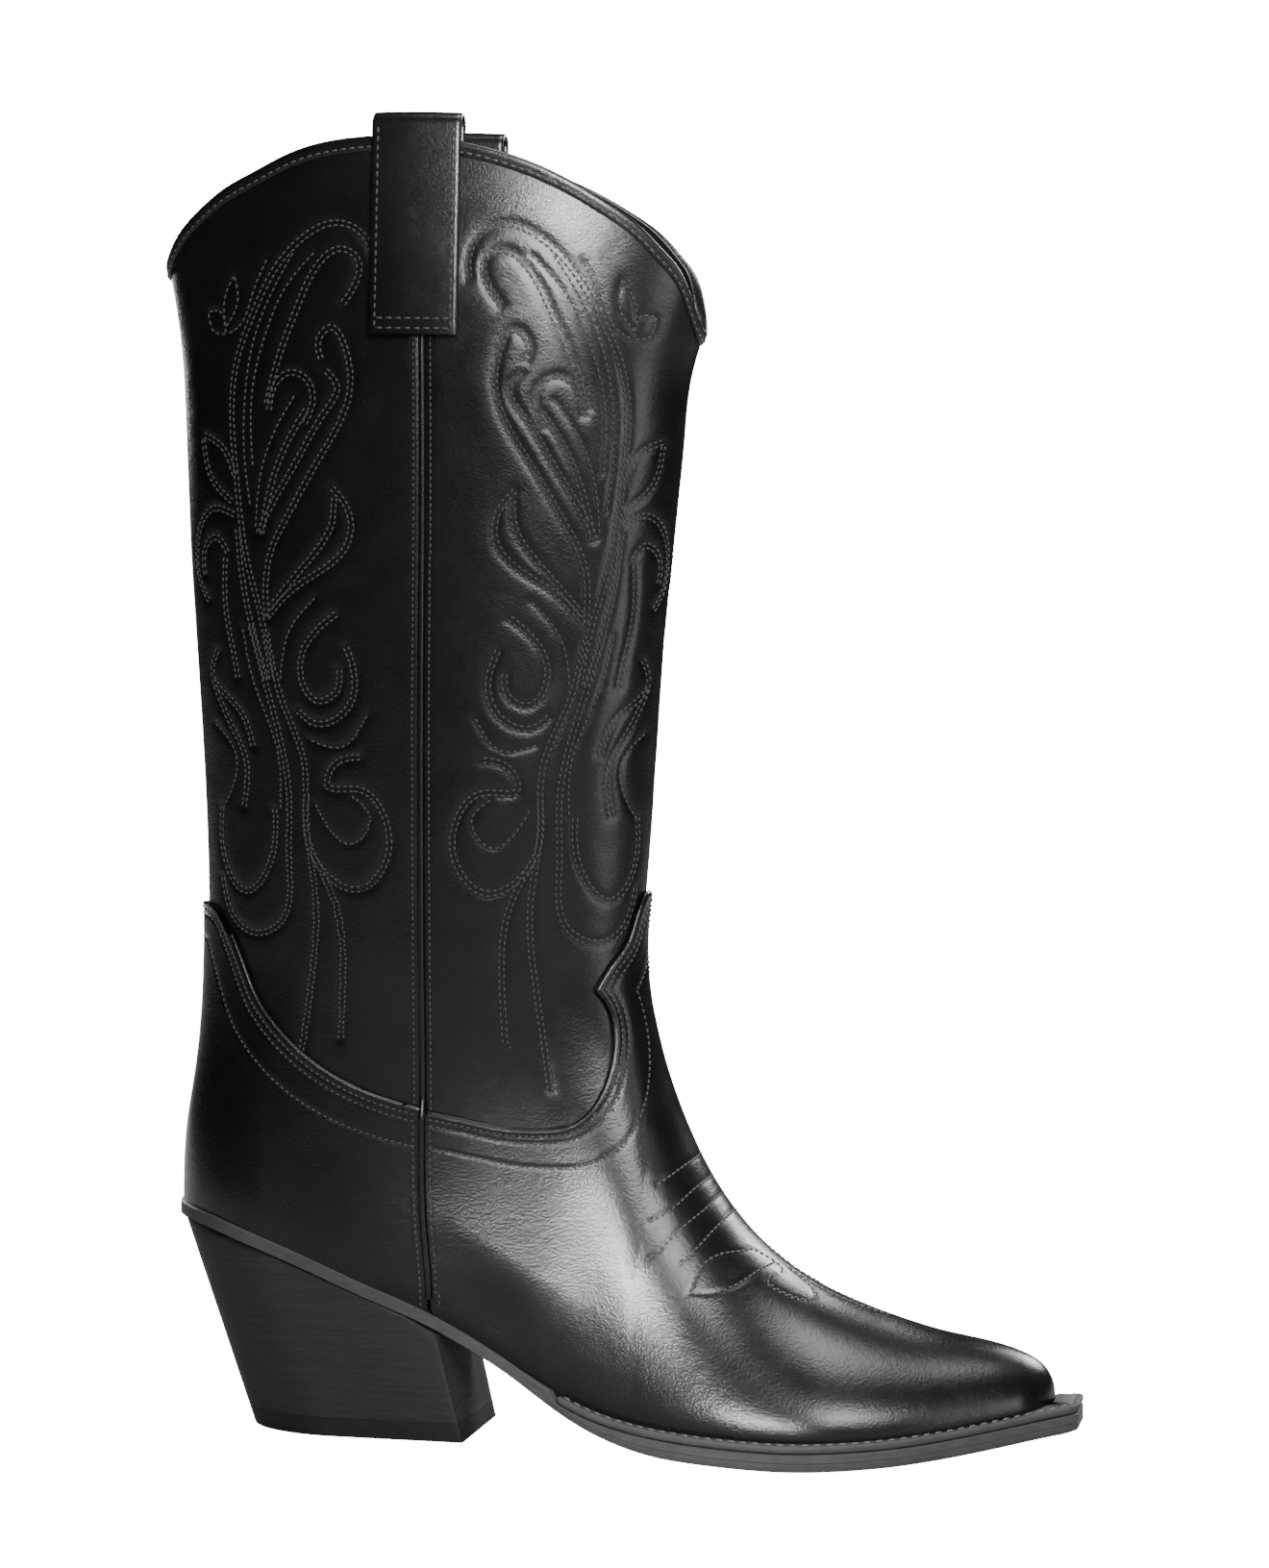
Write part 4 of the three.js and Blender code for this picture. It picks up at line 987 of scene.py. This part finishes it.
def strap_path(inset):
    """Outline of one skin of a strap as (offset, z), up the outside, over the loop and down inside."""
    out, inner, top = STRAP_OUT - inset, STRAP_IN + inset, STRAP_TOP_Z - inset
    corner = STRAP_CORNER - inset + 1
    turn = np.linspace(0, math.pi / 2, 9)
    legs = np.linspace(STRAP_FOOT_Z, top - corner, 50)[:-1]
    across, above = corner * (1 - np.cos(turn)), top - corner + corner * np.sin(turn)
    offset = np.concatenate([np.full(len(legs), out), out - across, inner + across[::-1],
                             np.full(len(legs), inner)])
    return np.stack([offset, np.concatenate([legs, above, above[::-1], legs[::-1]])], 1)


def pull_strap(side):
    width = STRAP_FRONT_X - STRAP_BACK_X
    at_edge = np.array([0, 0.15, 0.4, 0.8])
    across = np.concatenate([at_edge, np.linspace(1.5, width - 1.5, 16), width - at_edge[::-1]])
    sections = []
    for w in across:
        shrink = 0.75 * max(0, 1 - min(w, width - w) / 0.8) ** 2
        bow = 0.25 * math.sin(math.pi * w / width)
        outer = strap_path(shrink - bow)
        inner = strap_path(STRAP_LEATHER - shrink - bow)[::-1]
        loop = np.concatenate([outer, inner])
        x = np.full(len(loop), STRAP_BACK_X + w)
        sections.append(side_point(x, loop[:, 1], side, loop[:, 0])[0])
    name = ("lateral" if side < 0 else "medial") + "_pull_strap"
    sections = sections if side > 0 else sections[::-1]
    stand_in(tube_object(name, sections, UPPER), name)
    return strap_stitches(side)


def strap_stitches(side):
    """Rows down both edges and twice across the foot of a strap, outside and inside the shaft."""
    sets = []
    low, high = STRAP_FOOT_Z + 1.8, STRAP_TOP_Z - 4.5
    back, front = STRAP_BACK_X + 2.2, STRAP_FRONT_X - 2.2
    for offset, outward in ((STRAP_OUT + 0.1, 1), (STRAP_IN - 0.1, -1)):
        routes = [(np.full(60, x), np.linspace(low, high, 60), offset) for x in (back, front)]
        routes += [(np.linspace(back, front, 30), np.full(30, z), offset + 0.15) for z in (low, low + 3)]
        for x, z, lift in routes:
            points, normals = side_point(x, z, side, np.full(len(x), lift))
            sets.append(stitches(points, normals * outward, HEAVY_STITCH, 0.6, HEAVY_RADIUS, 0.02))
    return sets


def lining(name, centre, low, high, rows, columns):
    skin = Skin(centre, rows, columns, low, high, 0.15)
    outer, inner = skin.lifted(LINING_OUT), skin.lifted(LINING_IN)
    stand_in(sheet_object(name, outer, inner, LINING_LEATHER, coarse=1), name)


# ---- Bottom ----
def sole_rings(profile, loop):
    """Rings from (inset, height above the feather line) pairs, each a number or one per place."""
    normals = loop_normals(loop)
    rings = []
    for inset, height in profile:
        flat = loop - normals * np.reshape(inset, (-1, 1))
        rings.append(np.column_stack([flat, feather_z(loop[:, 0]) + height]))
    return rings


def outsole():
    xs, loop = sole_loop()
    loop = loop - loop_normals(loop) * 0.05
    x = loop[:, 0]
    low = -sole_thickness(x)
    high = -(WELT + GAP) * smooth(x, 124.6, 126.2)
    line = 0.2 * smooth(x, 112, 135)
    profile = [(6, low), (0.7, low), (line, low + 0.22), (0, low + 0.6), (0, lerp(low, high, 0.47)),
               (line, lerp(low, high, 0.5)), (0, lerp(low, high, 0.53)), (0, high - 0.4), (0.35, high),
               (6, high)]
    stand_in(ringed_block("outsole", sole_rings(profile, loop), len(xs), SOLE), "outsole")


def welt():
    xs, loop = sole_loop()
    normals = loop_normals(loop)
    use = loop[:, 0] > WELT_START_X
    loop, normals = loop[use], normals[use]
    profile = [(0.5, 0), (0.15, -0.2), (0, -0.7), (0.1, -1.6), (0.3, -2.2), (0.6, -WELT), (8, -WELT),
               (8, 0), (3.4, 0), (2.9, -0.35), (2.4, -0.4), (1.9, -0.35), (1.4, 0)]
    sections = []
    for inset, height in profile:
        flat = loop - normals * inset
        sections.append(np.column_stack([flat, feather_z(loop[:, 0]) + height]))
    stand_in(tube_object("welt", np.stack(sections, 1), SOLE), "welt")
    flat = loop - normals * WELT_ROW
    line = np.column_stack([flat, feather_z(loop[:, 0]) - 0.25])
    rise = np.tile([0.0, 0.0, 1.0], (len(line), 1))
    thread_object("welt_thread", [stitches(line, rise, 2.9, 0.9, 0.5, 0.0)], WELT_THREAD)


def heel_loop(z, end, inset=0.0):
    rear = lerp(HEEL_BACK_FLOOR_X, HEEL_BACK_TOP_X, z / HEEL_TOP_Z)
    half = lerp(HEEL_HALF_FLOOR, HEEL_HALF_TOP, z / HEEL_TOP_Z)
    xs = end_stations(rear, end, min(HEEL_ROUND, (end - rear) * 0.8), 1.2, 12)
    away = np.clip((xs - rear) / HEEL_ROUND, 0, 1)
    y = half * np.sqrt(1 - (1 - away) ** 2) - corner_loss(end - xs, 1.2)
    loop = loop_from_sides(xs, y, y)
    loop = loop - loop_normals(loop) * min(inset, (end - rear) * 0.2)
    return np.column_stack([loop, np.full(len(loop), z)]), len(xs)


def seat_end(z):
    """Where the heel's front or the sloping seat stops it at a height."""
    xs = np.linspace(-20, 110, 900)
    seat = feather_z(xs) - sole_thickness(xs) - 0.1
    at_seat = np.interp(-z, -seat, xs)
    return min(float(lerp(HEEL_BREAST_FLOOR_X, HEEL_BREAST_TOP_X, z / HEEL_BREAST_TOP_Z)), float(at_seat))


def heel_block(name, low, high, bevel, material):
    rings = []
    high = min(high, HIGHEST_LIFT_Z)
    for inset, z in ((4, low), (bevel, low), (0, low + bevel), (0, high - bevel), (bevel, high), (4, high)):
        ring, stations = heel_loop(z, seat_end(z), inset)
        rings.append(ring)
    stand_in(ringed_block(name, rings, stations, material), name)


def heel():
    heel_block("heel_top_piece", 0, TOP_PIECE, 0.12, RUBBER)
    for i in range(LIFT_COUNT):
        low = TOP_PIECE + 0.02 + i * LIFT_PITCH
        heel_block(f"heel_lift_{i + 1:02d}", low, low + LIFT_PITCH - 0.02, 0.02, HEEL)


def sock():
    back, front = SOCK_BACK_X, TOE_X - 6
    xs = end_stations(back, front, 27, 6, 60)
    ends = np.sqrt(round_end(xs - back, 27))
    inset = 3.4 + 2.6 * smooth(xs, 180, 265)
    loss = corner_loss(front - xs, 6) * 0.6
    lateral = (lateral_half(xs) - inset) * ends - loss
    medial = (medial_half(xs) - inset) * ends - loss
    low = BOARD_RISE + INSOLE + GAP
    profile = [(6, low), (0, low), (0, low + 0.7 * SOCK), (0.5, low + SOCK), (6, low + SOCK)]
    rings = sole_rings(profile, loop_from_sides(xs, lateral, medial))
    stand_in(ringed_block("sock_lining", rings, len(xs), LINING_LEATHER), "sock_lining")


def dress(names, material):
    """Gives pieces that keep their CAD shape a finish."""
    for name in names:
        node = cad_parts[name]
        node.data.materials.clear()
        node.data.materials.append(material)


# ---- Patterns ----
# Stitched pattern on the panels: (rows side by side, points as distance from the side seam and height).
EMBROIDERY = [
    (2, [(15, 359), (15, 366), (20, 374), (27, 376), (37, 372), (48, 361), (56, 347), (62, 333), (64, 317),
         (62, 295), (59, 275), (52, 251), (49, 235)]),
    (2, [(25, 351), (21, 357), (20, 365), (25, 368), (33, 363), (40, 350), (46, 336), (51, 320)]),
    (1, [(34, 367), (44, 356), (51, 342), (56, 325), (56, 301)]),
    (1, [(41, 367), (49, 354), (56, 338), (59, 321), (59, 302), (57, 289)]),
    (1, [(50, 365), (56, 353), (60, 345), (65, 342)]),
    (1, [(66, 344), (61, 352), (62, 360)]),
    (1, [(62, 360), (66, 353), (66, 344)]),
    (1, [(66, 342), (68, 349), (73, 349)]),
    (1, [(73, 349), (71, 343), (66, 342)]),
    (2, [(32, 334), (33, 340), (29, 344), (24, 337), (24, 320), (34, 302), (43, 287), (50, 273),
         (51, 254)]),
    (2, [(31, 331), (27, 326), (31, 318), (41, 302), (51, 286), (54, 280)]),
    (2, [(38, 314), (35, 322), (37, 328), (43, 330), (49, 324), (50, 318)]),
    (2, [(37, 319), (44, 308), (50, 293), (53, 280)]),
    (1, [(41, 323), (47, 314), (53, 299), (55, 282)]),
    (2, [(29, 295), (24, 289), (23, 279), (31, 270), (42, 263), (51, 254)]),
    (2, [(28, 292), (29, 283), (34, 275), (42, 266), (50, 257)]),
    (1, [(34, 261), (43, 250), (46, 235)]),
    (2, [(27, 256), (36, 248), (39, 238), (33, 229), (27, 232), (26, 239)]),
    (2, [(24, 246), (21, 237), (24, 226), (34, 222), (40, 226)]),
    (1, [(17, 225), (25, 215), (36, 217)]),
    (2, [(19, 212), (28, 209), (30, 203), (20, 202), (12, 195), (11, 180), (20, 171), (31, 176), (37, 188),
         (37, 200)]),
    (1, [(22, 200), (16, 193), (22, 185), (31, 192), (34, 197)]),
    (2, [(51, 250), (45, 228), (38, 211), (37, 191), (34, 168), (35, 146), (38, 124), (40, 110)]),
    (2, [(34, 180), (27, 165), (25, 146), (26, 124)]),
    (2, [(57, 252), (50, 230), (43, 200), (43, 180), (46, 160), (55, 156), (65, 161), (70, 173)]),
    (1, [(60, 251), (56, 235), (47, 213), (46, 195)]),
    (2, [(48, 195), (50, 178), (59, 169), (69, 179), (70, 195)]),
    (2, [(71, 244), (74, 237), (62, 226), (56, 214)]),
    (2, [(74, 235), (66, 222), (59, 210), (60, 195)]),
    (1, [(73, 221), (63, 211), (66, 199), (70, 194)]),
    (2, [(77, 311), (68, 307), (63, 298)]),
    (2, [(77, 310), (74, 299), (64, 290)]),
    (2, [(63, 286), (72, 288), (81, 279), (81, 267), (75, 259)]),
    (2, [(66, 274), (71, 279), (77, 275), (77, 267)]),
    (2, [(62, 282), (60, 266), (55, 247), (51, 235)]),
    (2, [(67, 273), (67, 257), (63, 240), (62, 235)]),
]


def embroidery(skin):
    """The pattern's rows on both sides of a panel, in its flat coordinates."""
    lines = []
    for count, points in EMBROIDERY:
        drawn = curve2d(points, 0.4)
        centre = np.stack([skin.seam_a(drawn[:, 1]) - drawn[:, 0], drawn[:, 1]], 1)
        centre = centre[centre[:, 0] > 1]
        if len(centre) < 8:
            continue
        rows = [centre] if count == 1 else [offset_line(centre, d) for d in (-ROW_PITCH / 2, ROW_PITCH / 2)]
        lines += both_sides(rows)
    return lines


def front_foot(x, share):
    return 91.0 + 0 * x


def back_foot(x, share):
    return np.interp(x, [20, 70], [140, 91.0])


def vamp_top(x, share):
    return 0 * x + lerp(176, 110, smooth(share, 0.3, 0.62))


def counter_top(x, share):
    return 0 * x + lerp(171.5, 110, smooth(share, 0.05, 0.95))


def lining_join(x, share):
    return 88.0 + 0 * x


def no_groove(skin):
    return 0


def build_upper():
    panel("shaft_front_panel", math.pi, front_foot)
    panel("shaft_back_panel", 0, back_foot)
    vamp_edge = whole_edge(FRONT_GIRTH, [VAMP_EDGE, TONGUE_EDGE])
    counter_edge = whole_edge(BACK_GIRTH, [COUNTER_EDGE])
    skin, surface, sets = cover("vamp", math.pi, 270, 400, vamp_top, vamp_edge, toe_groove)
    thread_object("vamp_thread", sets + toe_sewn(skin, surface), THREAD)
    sets = cover("counter_cover", 0, 200, 260, counter_top, counter_edge, no_groove)[2]
    thread_object("counter_thread", sets, THREAD)
    trim = []
    for side in (-1, 1):
        piping(side)
        trim += pull_strap(side)
    trim += binding("top_binding_front", math.pi)
    trim += binding("top_binding_back", 0)
    thread_object("trim_thread", trim, THREAD)


def build_linings():
    for centre, upper, lower in ((math.pi, "shaft_front_lining", "vamp_lining"),
                                 (0, "shaft_back_lining", "heel_lining")):
        join = foot_t(centre, lining_join)

        def start(turn):
            return 0 * turn + 0.004

        def below_join(turn):
            return join(turn) - 0.001

        lining(upper, centre, join, np.ones_like, 110, 90)
        lining(lower, centre, start, below_join, 90, 120)


build_upper()
build_linings()
outsole()
welt()
heel()
sock()
dress(["heel_counter_stiffener", "toe_puff"], STIFF)
dress(["insole_board"], BOARD)
dress(["forefoot_filler"], CORK)
dress(["steel_shank", "shank_rivet_1", "shank_rivet_2"], STEEL)
dress([f"heel_nail_{i}" for i in range(1, 6)], STEEL)


# ---- Stage, light and camera ----
CAMERA_AIM_X, CAMERA_DISTANCE, CAMERA_HEIGHT, CAMERA_LENS = 142, 1496, 263.25, 110.07
FLOOR_GLOW, SKY_GLOW, SKY_FILL = 16.0, 17.0, 0.012


def hang(light, place, target):
    lamp = bpy.data.objects.new(light.name, light)
    lamp.location = place
    lamp.rotation_euler = (Vector(target) - Vector(place)).to_track_quat("-Z", "Y").to_euler()
    bpy.context.scene.collection.objects.link(lamp)


def area_light(name, place, target, size, power):
    light = bpy.data.lights.new(name, "AREA")
    light.shape = "RECTANGLE"
    light.size, light.size_y = size
    light.energy = power
    hang(light, place, target)


def spot_light(name, place, target, reach, radius, power):
    """A soft spot that lights only a patch of the given reach round its target."""
    light = bpy.data.lights.new(name, "SPOT")
    away = (Vector(target) - Vector(place)).length
    light.spot_size = 2 * math.atan(reach / away)
    light.spot_blend = 1
    light.shadow_soft_size = radius
    light.energy = power
    hang(light, place, target)


def camera_only(tree, strength):
    """A light strength that the camera sees and the boot does not mirror."""
    path = tree.nodes.new("ShaderNodeLightPath")
    spread = tree.nodes.new("ShaderNodeMapRange")
    spread.inputs["To Min"].default_value = strength[0]
    spread.inputs["To Max"].default_value = strength[1]
    tree.links.new(path.outputs["Is Camera Ray"], spread.inputs["Value"])
    return spread.outputs["Result"]


def clear_from_below(tree, shader):
    """Lets the underside of the boot be seen through the floor."""
    side = tree.nodes.new("ShaderNodeNewGeometry")
    clear = tree.nodes.new("ShaderNodeBsdfTransparent")
    mix = tree.nodes.new("ShaderNodeMixShader")
    tree.links.new(side.outputs["Backfacing"], mix.inputs["Fac"])
    tree.links.new(shader.outputs["BSDF"], mix.inputs[1])
    tree.links.new(clear.outputs["BSDF"], mix.inputs[2])
    tree.links.new(mix.outputs["Shader"], tree.nodes["Material Output"].inputs["Surface"])


def stage():
    """Round pale floor."""
    around, radius = 96, 4
    mesh = bpy.data.meshes.new("floor")
    angles = [2 * math.pi * k / around for k in range(around)]
    rim = [(radius * math.cos(angle), radius * math.sin(angle), 0) for angle in angles]
    mesh.from_pydata(rim, [], [tuple(range(around))])
    material, tree, shader = principled("pale_floor", (0.3, 0.3, 0.3), 0.9, 0.1)
    shader.inputs["Emission Color"].default_value = (1, 1, 1, 1)
    tree.links.new(camera_only(tree, (0, FLOOR_GLOW)), shader.inputs["Emission Strength"])
    clear_from_below(tree, shader)
    mesh.materials.append(material)
    floor = bpy.data.objects.new("floor", mesh)
    floor.location.z = -0.0002
    bpy.context.scene.collection.objects.link(floor)


def camera():
    yaw, pitch, roll = math.radians(9.8), math.radians(2.237), math.radians(1.22)
    sight = Vector((-math.sin(yaw) * math.cos(pitch), math.cos(yaw) * math.cos(pitch), -math.sin(pitch)))
    level = Vector((math.cos(yaw), math.sin(yaw), 0))
    above = level.cross(sight)
    right = level * math.cos(roll) + above * math.sin(roll)
    up = above * math.cos(roll) - level * math.sin(roll)
    place = Vector((CAMERA_AIM_X, 0, 0)) - CAMERA_DISTANCE * sight
    place.z = CAMERA_HEIGHT
    lens = bpy.data.cameras.new("camera")
    lens.sensor_fit = "VERTICAL"
    lens.sensor_height = 36
    lens.lens = CAMERA_LENS
    lens.clip_start = 0.05
    eye = bpy.data.objects.new("camera", lens)
    world = np.eye(4)
    world[:3, 0], world[:3, 1], world[:3, 2] = right, up, -sight
    world[:3, 3] = (np.array(place) + SHIFT) * MM
    eye.matrix_world = Matrix(world.tolist())
    bpy.context.scene.collection.objects.link(eye)
    bpy.context.scene.camera = eye


def lights():
    world = bpy.data.worlds.new("studio")
    world.use_nodes = True
    tree = world.node_tree
    tree.links.new(camera_only(tree, (SKY_FILL, SKY_GLOW)), tree.nodes["Background"].inputs["Strength"])
    tree.nodes["Background"].inputs["Color"].default_value = (1, 1, 1, 1)
    bpy.context.scene.world = world
    area_light("key_softbox", (0.58, -1.45, 0.93), (0.0, 0, 0.3), (0.9, 0.62), 33)
    spot_light("top_spot", (0.3, -1.27, 0.53), (0.008, -0.03, 0.438), 0.06, 0.08, 380)
    spot_light("vamp_spot", (-0.33, -1.25, 0.22), (0.033, -0.03, 0.055), 0.06, 0.06, 215)
    area_light("top_softbox", (0.25, -0.1, 1.7), (0.05, 0, 0), (0.8, 0.7), 18)
    area_light("rear_softbox_right", (0.75, 1.4, 1.0), (0, 0, 0.25), (0.6, 0.6), 22)
    area_light("rear_softbox_left", (-1.0, 1.25, 0.75), (0, 0, 0.2), (0.7, 0.7), 40)
    area_light("side_strip", (1.35, -0.7, 0.3), (0, 0, 0.25), (0.35, 0.8), 4)


stage()
camera()
lights()
